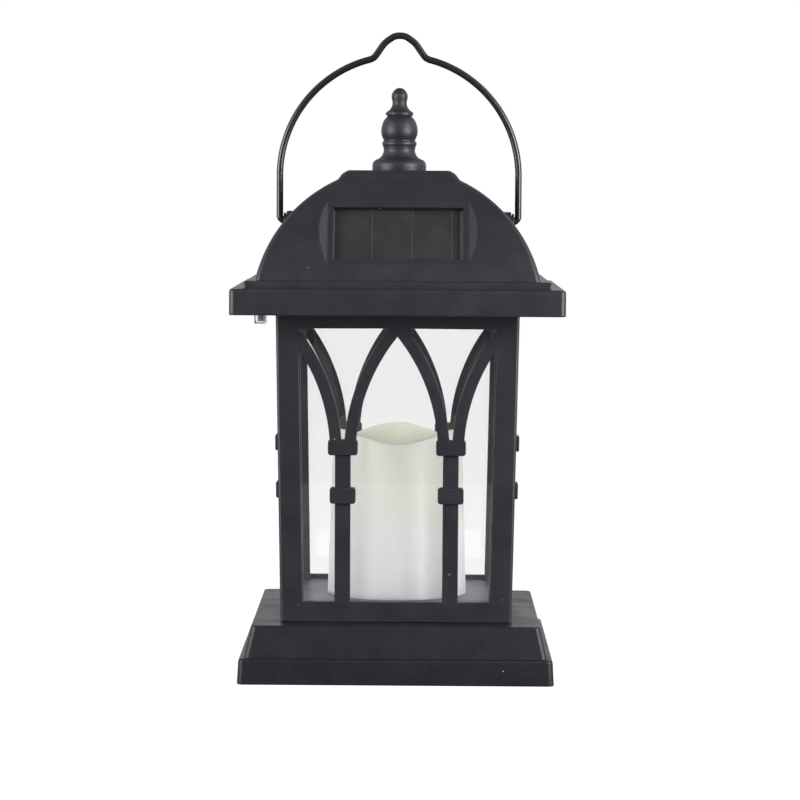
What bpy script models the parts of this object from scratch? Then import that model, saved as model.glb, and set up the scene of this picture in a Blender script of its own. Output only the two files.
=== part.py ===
"""Square solar candle lantern with a wire bail, modelled as separate named parts.

The origin is the centre of the base's underside, +Z is up and the solar panel faces -Y.
Dimensions are in millimetres and are turned into metres where geometry is made.
"""
import math

import bmesh
import bpy
from mathutils import Matrix, Vector

MM = 0.001
GAP = 0.3                     # clearance between parts that touch

# Base
SKIRT_HALF = 68.0
SKIRT_HALF_HIGH = 67.4       # the skirt's sides draw in towards its top
SKIRT_TOP = 11.1
TIER_HALF_LOW = 65.2
TIER_HALF_HIGH = 62.1
BASE_TOP = 24.8
BASE_WALL = 2.3
COVER_BOTTOM = 1.6
COVER_TOP = 3.6
COVER_SCREW_AT = 55.0
FLOOR_TOP = 31.9

# Body: four leaning window frames, clear panes and corner posts
BODY_BOTTOM = BASE_TOP + GAP
BODY_TOP = 159.0
BODY_HALF_LOW = 50.1
BODY_HALF_HIGH = 52.5
LEAN = math.atan2(BODY_HALF_HIGH - BODY_HALF_LOW, 158.0 - BASE_TOP)
FRAME_THICK = 3.0
PANE_THICK = 1.0
PANE_HALF = 44.0
POST_HALF = 2.6
POST_BORE_HALF = 1.45
POST_AT_LOW = 42.7

# Window tracery, heights above the frame's foot
RAIL_TOP = 8.6
HEADER_BOTTOM = 127.2
LIGHT_HALF_LOW = 40.55
LIGHT_HALF_HIGH = 42.7
MULLION_AT = 23.3
MULLION_WIDE = 6.8
SPRING_HEIGHT = 73.0          # where the ribs spring from the mullions
RIB_RADIUS = 83.6
RIB_WIDE = 5.1
RIB_CENTRE = 63.3             # arc centre, on the far side of the window's middle
COLLAR_PROUD = 2.0
COLLARS = ((12.9, 72.5, 79.2), (11.2, 51.5, 58.5))    # width, bottom, top
ARC_STEPS = 6

# Roof
EAVE_HALF = 71.5
EAVE_BOTTOM = 158.4
EAVE_TOP = 169.7
EAVE_WALL = 2.0
STEP_HALF = 65.65
STEP_TOP = 172.9
DOME_RADIUS = 62.5
DOME_CENTRE = 159.6
DOME_WALL = 2.2
CAP_BOTTOM = 216.0
CAP_TOP = 220.2
CAP_HALF = 22.3
TRAY_HALF = 69.1
TRAY_BOTTOM = 159.4
TRAY_TOP = 161.4
TRAY_SCREW_AT = 58.0

# Solar pocket: a flat cut along a chord of the dome's front
POCKET_LOW = Vector((0, -59.0, 180.1))
POCKET_HIGH = Vector((0, -40.3, 207.4))
POCKET_HALF = 30.2
POCKET_FLARE = 1.75           # how far the side walls open for each millimetre outwards
POCKET_REACH = 8.0            # how far outwards the cut is carried
POCKET_TALL = 19.0
BACKING_HALF = (33.2, 18.5)   # solid wall kept behind the pocket
WINDOW_HALF = 28.0
WINDOW_TALL = 26.7
WINDOW_SHIFT = -0.67
POCKET_WALL = 2.0
PANEL_HALF = (30.0, 15.0)
PANEL_THICK = 1.8
PANEL_DEPTH = 2.5

# Handle
WIRE_RADIUS = 1.5
PIVOT_HEIGHT = 197.5
LEG_AT = 53.0
LEG_TOP = 217.9
LEG_BEND = 2.8
WIRE_END = 41.0
KINK_AT = 13.3                # across, where the bow bends up into the hump
HUMP = ((12.0, 269.8), (11.1, 270.5), (9.6, 272.5), (7.75, 275.2), (6.45, 276.7), (4.8, 278.0), (2.5, 279.4),
        (0.0, 279.8))
BOSS_RADIUS = 4.6
BOSS_END = 49.9
BUSH_FLANGE = 3.8
BUSH_SLEEVE = 3.0
BUSH_BORE = 1.8
BUSH_MOUTH = 2.6              # the bore flares here to clear the wire's bend
BUSH_END = 51.2

# Candle
CANDLE_RADIUS_LOW = 30.9
CANDLE_RADIUS_HIGH = 28.85
CANDLE_WALL = 1.4
CANDLE_RIM = 103.3
RIM_WAVE = 2.6

# Roof electronics
BATTERY_RADIUS = 7.25
BATTERY_LONG = 49.3
BATTERY_AT = Vector((-22.8, 10.0, 169.5))
BOARD_LOW = Vector((-22.0, -46.0, 166.0))
BOARD_HIGH = Vector((22.0, -20.0, 167.6))
BOARD_SCREW = (19.0, -33.0)
HOLDER_HALF = (31.0, 10.0)
HOLDER_TOP = 178.8
DOOR_SCREW = (36.0, 10.0)
LEAD_RADIUS = 0.6
LEAD_CORNER = 3               # corner whose post carries the LED's lead

# Switch: a soft square boot over a plunger, pressed upwards through the tray
SWITCH_AT = (-59.7, -35.0)
SWITCH_HALF = 2.7
SWITCH_DROP = 5.1
SWITCH_TRAVEL = 1.2

# Screws
SHANK_RADIUS = 1.15
HEAD_RADIUS = 2.6
HEAD_TALL = 1.2
BORE_RADIUS = 1.5
CLEAR_RADIUS = 1.7

# Finial outline from its top down: radius and height above the roof's cap
FINIAL = (
    (0.0, 36.6), (2.0, 35.9), (3.35, 34.1), (3.6, 32.6), (3.2, 30.3), (3.4, 28.6), (4.4, 26.9), (6.1, 25.6),
    (6.1, 24.6), (5.5, 24.1), (6.9, 22.2), (7.75, 20.0), (8.15, 17.6), (7.9, 15.6), (7.0, 13.2), (7.65, 12.4),
    (7.65, 11.4), (7.0, 9.5), (7.1, 8.1), (7.9, 6.4), (9.1, 5.3), (10.9, 4.4), (11.75, 3.2), (11.95, 2.0),
    (11.95, GAP), (BORE_RADIUS, GAP), (BORE_RADIUS, 11.8), (0.0, 12.4),
)

# Finishes: colour, roughness, metallic, transmission
FINISHES = {
    "black_plastic": ((0.028, 0.028, 0.03), 0.48, 0.0, 0.0),
    "dark_plastic": ((0.05, 0.05, 0.055), 0.6, 0.0, 0.0),
    "clear_plastic": ((0.93, 0.94, 0.95), 0.08, 0.0, 1.0),
    "candle_plastic": ((0.86, 0.86, 0.74), 0.42, 0.0, 0.25),
    "steel": ((0.62, 0.62, 0.63), 0.3, 1.0, 0.0),
    "black_wire": ((0.02, 0.02, 0.022), 0.35, 0.3, 0.0),
    "solar_cells": ((0.07, 0.055, 0.05), 0.18, 0.1, 0.0),
    "board_green": ((0.03, 0.22, 0.1), 0.4, 0.0, 0.0),
    "cell_sleeve": ((0.1, 0.35, 0.2), 0.3, 0.0, 0.0),
    "copper": ((0.72, 0.42, 0.25), 0.35, 1.0, 0.0),
    "switch_blue": ((0.3, 0.36, 0.45), 0.4, 0.0, 0.0),
    "lead_red": ((0.5, 0.03, 0.03), 0.45, 0.0, 0.0),
    "lead_black": ((0.02, 0.02, 0.02), 0.45, 0.0, 0.0),
    "led_warm": ((0.95, 0.9, 0.7), 0.1, 0.0, 0.6),
    "seal_grey": ((0.25, 0.25, 0.26), 0.7, 0.0, 0.0),
}

for leftover in list(bpy.data.objects):
    bpy.data.objects.remove(leftover)

PARTS = bpy.data.collections.new("solar_garden_light")
CUTTERS = bpy.data.collections.new("cutters")
bpy.context.scene.collection.children.link(PARTS)
bpy.context.scene.collection.children.link(CUTTERS)


# ---------------------------------------------------------------- shared tools

def make_material(name, finish):
    colour, roughness, metallic, transmission = FINISHES[finish]
    material = bpy.data.materials.new(name)
    material.use_nodes = True
    shader = material.node_tree.nodes["Principled BSDF"]
    shader.inputs["Base Color"].default_value = (*colour, 1.0)
    shader.inputs["Roughness"].default_value = roughness
    shader.inputs["Metallic"].default_value = metallic
    shader.inputs["Transmission Weight"].default_value = transmission
    return material


def add_part(name, mesh, finish):
    part = bpy.data.objects.new(name, mesh)
    mesh.materials.append(make_material(name, finish))
    PARTS.objects.link(part)
    return part


def add_cutter(name, mesh):
    tool = bpy.data.objects.new(name, mesh)
    tool.hide_render = True
    tool.display_type = "WIRE"
    CUTTERS.objects.link(tool)
    return tool


def place(item, location=(0, 0, 0), rotation=(0, 0, 0)):
    item.location = Vector(location) * MM
    item.rotation_euler = rotation
    return item


def combine(target, tool, operation):
    step = target.modifiers.new(f"{operation.lower()}_{tool.name}", "BOOLEAN")
    step.operation = operation
    step.solver = "EXACT"
    step.object = tool


def cut(target, *tools):
    for tool in tools:
        combine(target, tool, "DIFFERENCE")


def join(target, *tools):
    for tool in tools:
        combine(target, tool, "UNION")


def weld(item):
    """Close the hairline gaps that rounding leaves where a turned shape has been cut."""
    joint = item.modifiers.new("weld", "WELD")
    joint.merge_threshold = 0.00001


def soften(item, width, segments=1, angle=30.0):
    edge = item.modifiers.new("soften", "BEVEL")
    edge.width = width * MM
    edge.segments = segments
    edge.limit_method = "ANGLE"
    edge.angle_limit = math.radians(angle)


def box_mesh(name, low, high, flare=1.0):
    """A box between two corners; flare widens its top face along X."""
    low = Vector(low) * MM
    high = Vector(high) * MM
    shape = bmesh.new()
    bmesh.ops.create_cube(shape, size=1.0)
    bmesh.ops.scale(shape, vec=high - low, verts=shape.verts)
    top = [vert for vert in shape.verts if vert.co.z > 0]
    bmesh.ops.scale(shape, vec=(flare, 1.0, 1.0), verts=top)
    bmesh.ops.translate(shape, vec=(low + high) / 2, verts=shape.verts)
    return finish_mesh(name, shape)


def cylinder_mesh(name, radius, low, high, sides=16):
    shape = bmesh.new()
    bmesh.ops.create_cone(shape, cap_ends=True, segments=sides, radius1=radius * MM,
                          radius2=radius * MM, depth=(high - low) * MM)
    bmesh.ops.translate(shape, vec=(0, 0, (low + high) / 2 * MM), verts=shape.verts)
    return finish_mesh(name, shape)


def finish_mesh(name, shape):
    mesh = bpy.data.meshes.new(name)
    shape.to_mesh(mesh)
    shape.free()
    return mesh


def profile_mesh(name, points, closed=False):
    """A line of (radius, height) points, top to bottom, for a Screw modifier to turn."""
    mesh = bpy.data.meshes.new(name)
    edges = [(index, index + 1) for index in range(len(points) - 1)]
    if closed:
        edges.append((len(points) - 1, 0))
    mesh.from_pydata([(radius * MM, 0, height * MM) for radius, height in points], edges, [])
    return mesh


def turn(item, steps=20):
    screw = item.modifiers.new("turn", "SCREW")
    screw.steps = steps
    screw.render_steps = steps
    screw.use_merge_vertices = True
    screw.merge_threshold = 0.00001
    screw.use_smooth_shade = steps > 4
    return item


def square_turn(item):
    """Turn a profile of corner radii in four steps, so that its plan is a square."""
    turn(item, steps=4)
    item.rotation_euler = (0, 0, math.radians(45))
    return item


def square_profile(points):
    return [(half * math.sqrt(2), height) for half, height in points]


def bake(item):
    """Replace an object by its evaluated mesh in world space, with a curve's caps welded."""
    graph = bpy.context.evaluated_depsgraph_get()
    mesh = bpy.data.meshes.new_from_object(item.evaluated_get(graph))
    mesh.transform(item.matrix_world)
    shape = bmesh.new()
    shape.from_mesh(mesh)
    bmesh.ops.remove_doubles(shape, verts=shape.verts, dist=0.000001)
    shape.to_mesh(mesh)
    shape.free()
    mesh.materials.clear()
    bpy.data.objects.remove(item)
    return mesh


def flat_curve(name, outlines, thick):
    """A filled 2D curve, its first outline the rim and the others holes."""
    curve = bpy.data.curves.new(name, "CURVE")
    curve.dimensions = "2D"
    curve.fill_mode = "BOTH"
    curve.extrude = thick / 2 * MM
    for outline in outlines:
        spline = curve.splines.new("POLY")
        spline.points.add(len(outline) - 1)
        for point, (across, up) in zip(spline.points, outline):
            point.co = (across * MM, up * MM, 0, 1)
        spline.use_cyclic_u = True
    return curve


def wire_curve(name, points, radius):
    curve = bpy.data.curves.new(name, "CURVE")
    curve.dimensions = "3D"
    curve.bevel_depth = radius * MM
    curve.bevel_resolution = 2
    curve.use_fill_caps = True
    spline = curve.splines.new("POLY")
    spline.points.add(len(points) - 1)
    for point, place_at in zip(spline.points, points):
        point.co = (*(Vector(place_at) * MM), 1)
    return curve


def arc(centre, radius, start, end, steps):
    """Points on an arc, angles in degrees."""
    points = []
    for index in range(steps + 1):
        angle = math.radians(start + (end - start) * index / steps)
        points.append((centre[0] + radius * math.cos(angle), centre[1] + radius * math.sin(angle)))
    return points


def smooth_route(route, count):
    """Points evenly spread along a Catmull-Rom curve through the route."""
    route = [Vector(point) for point in route]
    padded = [2 * route[0] - route[1], *route, 2 * route[-1] - route[-2]]
    fine = []
    for a, b, c, d in zip(padded, padded[1:], padded[2:], padded[3:]):
        for index in range(24):
            t = index / 24
            fine.append(0.5 * (2 * b + (c - a) * t + (2 * a - 5 * b + 4 * c - d) * t ** 2
                               + (3 * b - a - 3 * c + d) * t ** 3))
    fine.append(route[-1])
    lengths = [0.0]
    for here, there in zip(fine, fine[1:]):
        lengths.append(lengths[-1] + (there - here).length)
    points = []
    at = 0
    for index in range(count):
        wanted = lengths[-1] * index / (count - 1)
        while at < len(fine) - 2 and lengths[at + 1] < wanted:
            at += 1
        share = (wanted - lengths[at]) / (lengths[at + 1] - lengths[at])
        points.append(fine[at].lerp(fine[at + 1], share))
    return points


def corners(distance):
    """The four corners of a square, front left first and then round the top view."""
    return [(-distance, -distance), (distance, -distance), (distance, distance), (-distance, distance)]


def add_screw(name, head_top, length, at=(0, 0), upward=False):
    """A pan-head screw: the head's face is at head_top and the shank runs away from it."""
    profile = [(0, 0), (HEAD_RADIUS * 0.8, 0), (HEAD_RADIUS, -0.4), (HEAD_RADIUS, -HEAD_TALL),
               (SHANK_RADIUS, -HEAD_TALL), (SHANK_RADIUS, 0.8 - length), (0, -length)]
    screw = add_part(name, profile_mesh(name, profile), "steel")
    turn(screw, steps=10)
    return place(screw, (*at, head_top), (math.pi if upward else 0, 0, 0))


# ---------------------------------------------------------------- base

def make_base():
    outline = [(0, BASE_TOP), (TIER_HALF_HIGH, BASE_TOP), (TIER_HALF_LOW, SKIRT_TOP),
               (SKIRT_HALF_HIGH, SKIRT_TOP), (SKIRT_HALF, 0), (0, 0)]
    shell = add_part("base_shell", profile_mesh("base_shell", square_profile(outline)), "black_plastic")
    square_turn(shell)
    soften(shell, 0.9)
    ceiling = BASE_TOP - BASE_WALL
    ledge = SKIRT_TOP - BASE_WALL
    hollow = [(0, ceiling), (TIER_HALF_HIGH - BASE_WALL, ceiling), (TIER_HALF_LOW - BASE_WALL, ledge),
              (SKIRT_HALF_HIGH - BASE_WALL, ledge), (SKIRT_HALF - BASE_WALL, -1), (0, -1)]
    cut(shell, square_turn(add_cutter("base_hollow", profile_mesh("base_hollow", square_profile(hollow)))))

    for number, at in enumerate(corners(COVER_SCREW_AT), 1):
        post = cylinder_mesh(f"base_post_{number}", 3.2, COVER_TOP + GAP, ceiling + 0.5, 12)
        bore = cylinder_mesh(f"base_bore_{number}", BORE_RADIUS, COVER_TOP - 1, 17.0, 10)
        join(shell, place(add_cutter(f"base_post_{number}", post), at + (0,)))
        cut(shell, place(add_cutter(f"base_bore_{number}", bore), at + (0,)))
    for number, at in enumerate(corners(POST_AT_LOW), 1):
        hole = cylinder_mesh(f"post_hole_{number}", CLEAR_RADIUS, ceiling - 1, BASE_TOP + 1, 10)
        cut(shell, place(add_cutter(f"post_hole_{number}", hole), at + (0,)))
    cut(shell, add_cutter("base_centre", cylinder_mesh("base_centre", 2.0, ceiling - 1, BASE_TOP + 1, 10)))


def make_base_cover():
    half = SKIRT_HALF_HIGH - BASE_WALL
    cover = add_part("base_cover", box_mesh("base_cover", (-half, -half, COVER_BOTTOM),
                                            (half, half, COVER_TOP)), "black_plastic")
    for number, at in enumerate(corners(COVER_SCREW_AT), 1):
        hole = cylinder_mesh(f"cover_hole_{number}", CLEAR_RADIUS, COVER_BOTTOM - 1, COVER_TOP + 1, 10)
        cut(cover, place(add_cutter(f"cover_hole_{number}", hole), at + (0,)))
        add_screw(f"cover_screw_{number}", COVER_BOTTOM - GAP - HEAD_TALL, 14.0, at, upward=True)


def make_floor_plate():
    half = BODY_HALF_LOW - FRAME_THICK - PANE_THICK - 2 * GAP - 0.3
    notch = POST_AT_LOW - POST_HALF - GAP
    plate = add_part("floor_plate", box_mesh("floor_plate", (-half, -half, BODY_BOTTOM),
                                             (half, half, FLOOR_TOP)), "dark_plastic")
    inner = half - 2.0
    cut(plate, add_cutter("floor_hollow", box_mesh("floor_hollow", (-inner, -inner, BODY_BOTTOM - 1),
                                                   (inner, inner, FLOOR_TOP - 2.0))))
    for number, (x, y) in enumerate(corners(1), 1):
        low = (min(x * notch, x * 60), min(y * notch, y * 60), BODY_BOTTOM - 1)
        high = (max(x * notch, x * 60), max(y * notch, y * 60), FLOOR_TOP + 1)
        cut(plate, add_cutter(f"floor_notch_{number}", box_mesh(f"floor_notch_{number}", low, high)))
    cut(plate, add_cutter("floor_centre", cylinder_mesh("floor_centre", 2.0, BODY_BOTTOM, FLOOR_TOP + 1, 10)))


# ---------------------------------------------------------------- body

def rib_points(radius, low, high):
    """An edge of the right inner rib, between two heights above its spring."""
    start = math.degrees(math.asin(low / radius))
    end = math.degrees(math.asin(high / radius))
    return arc((-RIB_CENTRE, SPRING_HEIGHT), radius, start, end, ARC_STEPS)


def mirror(points, axis=0.0):
    return [(2 * axis - across, up) for across, up in points]


def window_outlines():
    """The frame's rim, then its five lights, as (across, up) from the middle of its foot."""
    tall = (BODY_TOP - BODY_BOTTOM) / math.cos(LEAN)
    wide = BODY_HALF_HIGH + 6
    rim = [(-wide, 0), (wide, 0), (wide, tall), (-wide, tall)]
    inner = RIB_RADIUS - RIB_WIDE / 2
    outer = RIB_RADIUS + RIB_WIDE / 2
    near = MULLION_AT - MULLION_WIDE / 2
    far = MULLION_AT + MULLION_WIDE / 2
    to_column = 2 * MULLION_AT + RIB_CENTRE - LIGHT_HALF_HIGH

    # The lights' corners hidden in the upper collar step up, so that no three of them line up.
    crotch, inner_start, side_start = 2.0, 3.0, 3.6
    arch = rib_points(inner, inner_start, math.sqrt(inner ** 2 - RIB_CENTRE ** 2))
    half = [(near, RAIL_TOP), (near, SPRING_HEIGHT + 1.5), *arch]
    middle = half + mirror(reversed(half[:-1]))

    side_arch = rib_points(inner, side_start, math.sqrt(inner ** 2 - to_column ** 2))
    side = [(LIGHT_HALF_LOW, RAIL_TOP), (far, RAIL_TOP), (far, SPRING_HEIGHT + 2.5),
            *mirror(side_arch, MULLION_AT)]

    rising = rib_points(outer, crotch, HEADER_BOTTOM - SPRING_HEIGHT)
    falling = rib_points(outer, crotch, math.sqrt(outer ** 2 - to_column ** 2))
    corner = (LIGHT_HALF_HIGH - 0.4, HEADER_BOTTOM - 0.2)
    funnel = [*rising, corner, *mirror(reversed(falling), MULLION_AT)]
    return [rim, middle, side, mirror(side), funnel, mirror(funnel)]


def on_window(depth):
    """Matrix from the window's own plane to the front face, this far behind its surface."""
    stand = Matrix.Rotation(math.radians(90) + LEAN, 4, "X")
    foot = Matrix.Translation(Vector((0, -BODY_HALF_LOW, BODY_BOTTOM)) * MM)
    return foot @ stand @ Matrix.Translation((0, 0, -depth * MM))


def make_windows():
    curve = flat_curve("frame_blank", window_outlines(), FRAME_THICK)
    blank = bpy.data.objects.new("frame_blank", curve)
    CUTTERS.objects.link(blank)
    blank.matrix_world = on_window(FRAME_THICK / 2)
    bpy.context.view_layer.update()
    blank = add_cutter("frame_blank", bake(blank))

    wedge = box_mesh("mitre", (-50, -50, BODY_BOTTOM - 5), (50, 50, BODY_TOP + 5))
    wedge = place(add_cutter("mitre", wedge), (0, -(50 * math.sqrt(2) + GAP * 0.75), 0), (0, 0, math.radians(45)))
    combine(blank, wedge, "INTERSECT")
    for side in (-1, 1):
        for wide, low, high in COLLARS:
            name = f"collar_{side}_{low:.0f}"
            middle = side * MULLION_AT
            collar = add_cutter(name, box_mesh(name, (middle - wide / 2, low, -FRAME_THICK + 0.2),
                                               (middle + wide / 2, high, COLLAR_PROUD)))
            collar.matrix_world = on_window(0)
            soften(collar, 0.7)
            join(blank, collar)
    bpy.context.view_layer.update()
    frame = bake(blank)

    tall = (BODY_TOP - BODY_BOTTOM) / math.cos(LEAN)
    pane = box_mesh("pane", (-PANE_HALF, 0.4, -PANE_THICK), (PANE_HALF, tall - 1.0, 0))
    pane.transform(on_window(FRAME_THICK + GAP))
    turns = {"front": 0, "right": 90, "back": 180, "left": 270}
    for side, angle in turns.items():
        spin = (0, 0, math.radians(angle))
        place(add_part(f"{side}_window_frame", frame.copy(), "black_plastic"), rotation=spin)
        place(add_part(f"{side}_window_pane", pane.copy(), "clear_plastic"), rotation=spin)


def make_corner_posts():
    """Leaning square tubes; the back right one carries the LED's lead."""
    tall = BODY_TOP - BODY_BOTTOM
    tube = box_mesh("post", (-POST_HALF, -POST_HALF, 0), (POST_HALF, POST_HALF, tall))
    channel = box_mesh("post_channel", (-POST_BORE_HALF, -POST_BORE_HALF, -1),
                       (POST_BORE_HALF, POST_BORE_HALF, tall + 1))
    lean = Matrix.Shear("XY", 4, (math.tan(LEAN), math.tan(LEAN)))
    stand = Matrix.Translation(Vector((POST_AT_LOW, POST_AT_LOW, BODY_BOTTOM)) * MM) @ lean
    tube.transform(stand)
    channel.transform(stand)
    blank = add_cutter("post_blank", tube)
    cut(blank, add_cutter("post_channel", channel))
    post = bake(blank)
    for number, angle in enumerate((180, 270, 0, 90), 1):
        part = add_part(f"corner_post_{number}", post.copy(), "black_plastic")
        place(part, rotation=(0, 0, math.radians(angle)))
    for number, at in enumerate(corners(POST_AT_LOW), 1):
        if number != LEAD_CORNER:
            add_screw(f"post_screw_low_{number}", BASE_TOP - BASE_WALL - GAP - HEAD_TALL, 15.0, at, upward=True)
    high = POST_AT_LOW + (BODY_TOP - BODY_BOTTOM) * math.tan(LEAN)
    for number, at in enumerate(corners(high), 1):
        if number != LEAD_CORNER:
            add_screw(f"post_screw_high_{number}", TRAY_TOP + GAP + HEAD_TALL, 13.0, at)


# ---------------------------------------------------------------- candle

def make_candle():
    low = FLOOR_TOP + GAP
    sides = 36
    shape = bmesh.new()
    bmesh.ops.create_cone(shape, cap_ends=False, segments=sides, radius1=CANDLE_RADIUS_LOW * MM,
                          radius2=CANDLE_RADIUS_HIGH * MM, depth=(CANDLE_RIM - low) * MM)
    bmesh.ops.translate(shape, vec=(0, 0, (CANDLE_RIM + low) / 2 * MM), verts=shape.verts)
    for vert in shape.verts:
        if vert.co.z > (low + 1) * MM:
            around = math.atan2(vert.co.x, -vert.co.y)
            vert.co.z -= RIM_WAVE * math.cos(3 * around) * MM
    candle = add_part("candle_shell", finish_mesh("candle_shell", shape), "candle_plastic")
    wall = candle.modifiers.new("wall", "SOLIDIFY")
    wall.thickness = CANDLE_WALL * MM
    wall.offset = -1

    stand = [(3.6, 42.0), (4.6, 41.0), (5.0, 35.6), (28.8, 35.0), (28.8, low), (2.0, low), (2.0, 42.0)]
    turn(add_part("candle_base", profile_mesh("candle_base", stand, closed=True), "dark_plastic"), steps=24)

    bulb = [(0, 50.6), (1.3, 50.3), (2.2, 49.4), (2.5, 48.0), (2.5, 43.5), (2.9, 43.5), (2.9, 42.3), (0, 42.3)]
    turn(add_part("led", profile_mesh("led", bulb), "led_warm"), steps=12)


# ---------------------------------------------------------------- roof

def dome_points(radius, low, high, steps):
    """Half widths of the dome's circle between two heights, top to bottom."""
    start = math.degrees(math.asin((high - DOME_CENTRE) / radius))
    end = math.degrees(math.asin((low - DOME_CENTRE) / radius))
    return arc((0, DOME_CENTRE), radius, start, end, steps)


def on_pocket():
    """Matrix from the solar pocket's plane (X across, Y up the slope, Z outwards)."""
    up = (POCKET_HIGH - POCKET_LOW).normalized()
    across = Vector((1, 0, 0))
    out = across.cross(up)
    turned = Matrix((across, up, out)).transposed().to_4x4()
    return Matrix.Translation((POCKET_LOW + POCKET_HIGH) / 2 * MM) @ turned


def pocket_cutter(name, low, high, flare=1.0):
    tool = add_cutter(name, box_mesh(name, low, high, flare))
    tool.matrix_world = on_pocket()
    return tool


def make_roof():
    outline = [(0, CAP_TOP), (CAP_HALF, CAP_TOP), (CAP_HALF + 2.9, CAP_TOP - 1.6),
               *dome_points(DOME_RADIUS, STEP_TOP, CAP_BOTTOM, 8), (STEP_HALF, STEP_TOP),
               (STEP_HALF, EAVE_TOP), (EAVE_HALF, EAVE_TOP), (EAVE_HALF, EAVE_BOTTOM), (0, EAVE_BOTTOM)]
    roof = square_turn(add_part("roof_shell", profile_mesh("roof_shell", square_profile(outline)),
                                "black_plastic"))
    soften(roof, 1.0)

    inner = DOME_RADIUS - DOME_WALL
    void_top = CAP_TOP - 2.4
    step_void = STEP_TOP - DOME_WALL
    eave_void = EAVE_TOP - DOME_WALL
    hollow = [(0, void_top), *dome_points(inner, step_void, void_top, 8), (STEP_HALF - DOME_WALL, step_void),
              (STEP_HALF - DOME_WALL, eave_void), (EAVE_HALF - EAVE_WALL, eave_void),
              (EAVE_HALF - EAVE_WALL, EAVE_BOTTOM - 1), (0, EAVE_BOTTOM - 1)]
    void = square_turn(add_cutter("roof_hollow", profile_mesh("roof_hollow", square_profile(hollow))))
    wide, tall = BACKING_HALF
    cut(void, pocket_cutter("pocket_backing", (-wide, -tall, -POCKET_WALL), (wide, tall, 12)))
    cut(roof, void)
    weld(roof)

    mouth = 1 + POCKET_FLARE * POCKET_REACH / POCKET_HALF
    cut(roof, pocket_cutter("pocket", (-POCKET_HALF, -POCKET_TALL, 0),
                            (POCKET_HALF, POCKET_TALL, POCKET_REACH), mouth))
    half = WINDOW_TALL / 2
    cut(roof, pocket_cutter("pocket_window", (-WINDOW_HALF, WINDOW_SHIFT - half, -POCKET_WALL - 3),
                            (WINDOW_HALF, WINDOW_SHIFT + half, POCKET_REACH)))

    for side, angle in (("left", -90), ("right", 90)):
        boss = cylinder_mesh(f"{side}_boss", BOSS_RADIUS, 44.0, BOSS_END, 20)
        bore = cylinder_mesh(f"{side}_bore", BUSH_SLEEVE + GAP, 40.0, 60.0, 16)
        seat = cylinder_mesh(f"{side}_seat", BUSH_FLANGE + GAP, BOSS_END, 60.0, 16)
        level = {"location": (0, 0, PIVOT_HEIGHT), "rotation": (0, math.radians(angle), 0)}
        join(roof, place(add_cutter(f"{side}_boss", boss), **level))
        cut(roof, place(add_cutter(f"{side}_bore", bore), **level))
        cut(roof, place(add_cutter(f"{side}_seat", seat), **level))

    post_top = DOME_CENTRE + math.sqrt(inner ** 2 - TRAY_SCREW_AT ** 2) + 1.5
    for number, at in enumerate(corners(TRAY_SCREW_AT), 1):
        post = cylinder_mesh(f"roof_post_{number}", 3.0, TRAY_TOP + GAP, post_top, 12)
        bore = cylinder_mesh(f"roof_bore_{number}", BORE_RADIUS, TRAY_TOP, TRAY_TOP + 12, 10)
        join(roof, place(add_cutter(f"roof_post_{number}", post), at + (0,)))
        cut(roof, place(add_cutter(f"roof_bore_{number}", bore), at + (0,)))
    cut(roof, add_cutter("finial_hole", cylinder_mesh("finial_hole", CLEAR_RADIUS, void_top - 1, CAP_TOP + 1, 10)))


def make_roof_tray():
    tray = add_part("roof_tray", box_mesh("roof_tray", (-TRAY_HALF, -TRAY_HALF, TRAY_BOTTOM),
                                          (TRAY_HALF, TRAY_HALF, TRAY_TOP)), "dark_plastic")
    holes = [(f"tray_screw_hole_{number}", at, CLEAR_RADIUS)
             for number, at in enumerate(corners(TRAY_SCREW_AT), 1)]
    high = POST_AT_LOW + (BODY_TOP - BODY_BOTTOM) * math.tan(LEAN)
    holes += [(f"tray_post_hole_{number}", at, CLEAR_RADIUS) for number, at in enumerate(corners(high), 1)]
    holes.append(("door_screw_hole", DOOR_SCREW, CLEAR_RADIUS))
    for name, at, radius in holes:
        tool = cylinder_mesh(name, radius, TRAY_BOTTOM - 1, TRAY_TOP + 1, 10)
        cut(tray, place(add_cutter(name, tool), tuple(at) + (0,)))
    x, y = SWITCH_AT
    room = SWITCH_HALF + GAP
    cut(tray, add_cutter("switch_hole", box_mesh("switch_hole", (x - room, y - room, TRAY_BOTTOM - 1),
                                                 (x + room, y + room, TRAY_TOP + 1))))
    cut(tray, add_cutter("battery_hole", box_mesh("battery_hole", (-HOLDER_HALF[0] + 2, BATTERY_AT.y - 8.4, 155),
                                                  (HOLDER_HALF[0] - 2, BATTERY_AT.y + 8.4, 165))))
    for side in (-1, 1):
        at = (side * BOARD_SCREW[0], BOARD_SCREW[1], 0)
        post = cylinder_mesh(f"board_post_{side}", 2.8, TRAY_TOP - 0.6, BOARD_LOW.z - GAP, 12)
        bore = cylinder_mesh(f"board_bore_{side}", BORE_RADIUS, TRAY_BOTTOM - 1, BOARD_LOW.z + 1, 10)
        join(tray, place(add_cutter(f"board_post_{side}", post), at))
        cut(tray, place(add_cutter(f"board_bore_{side}", bore), at))
    for number, at in enumerate(corners(TRAY_SCREW_AT), 1):
        add_screw(f"tray_screw_{number}", TRAY_BOTTOM - GAP - HEAD_TALL, 12.0, at, upward=True)


def make_finial():
    outline = [(radius, CAP_TOP + height) for radius, height in FINIAL]
    turn(add_part("finial", profile_mesh("finial", outline), "black_plastic"), steps=20)
    add_screw("finial_screw", CAP_TOP - 2.4 - GAP - HEAD_TALL, 14.0, upward=True)


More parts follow.
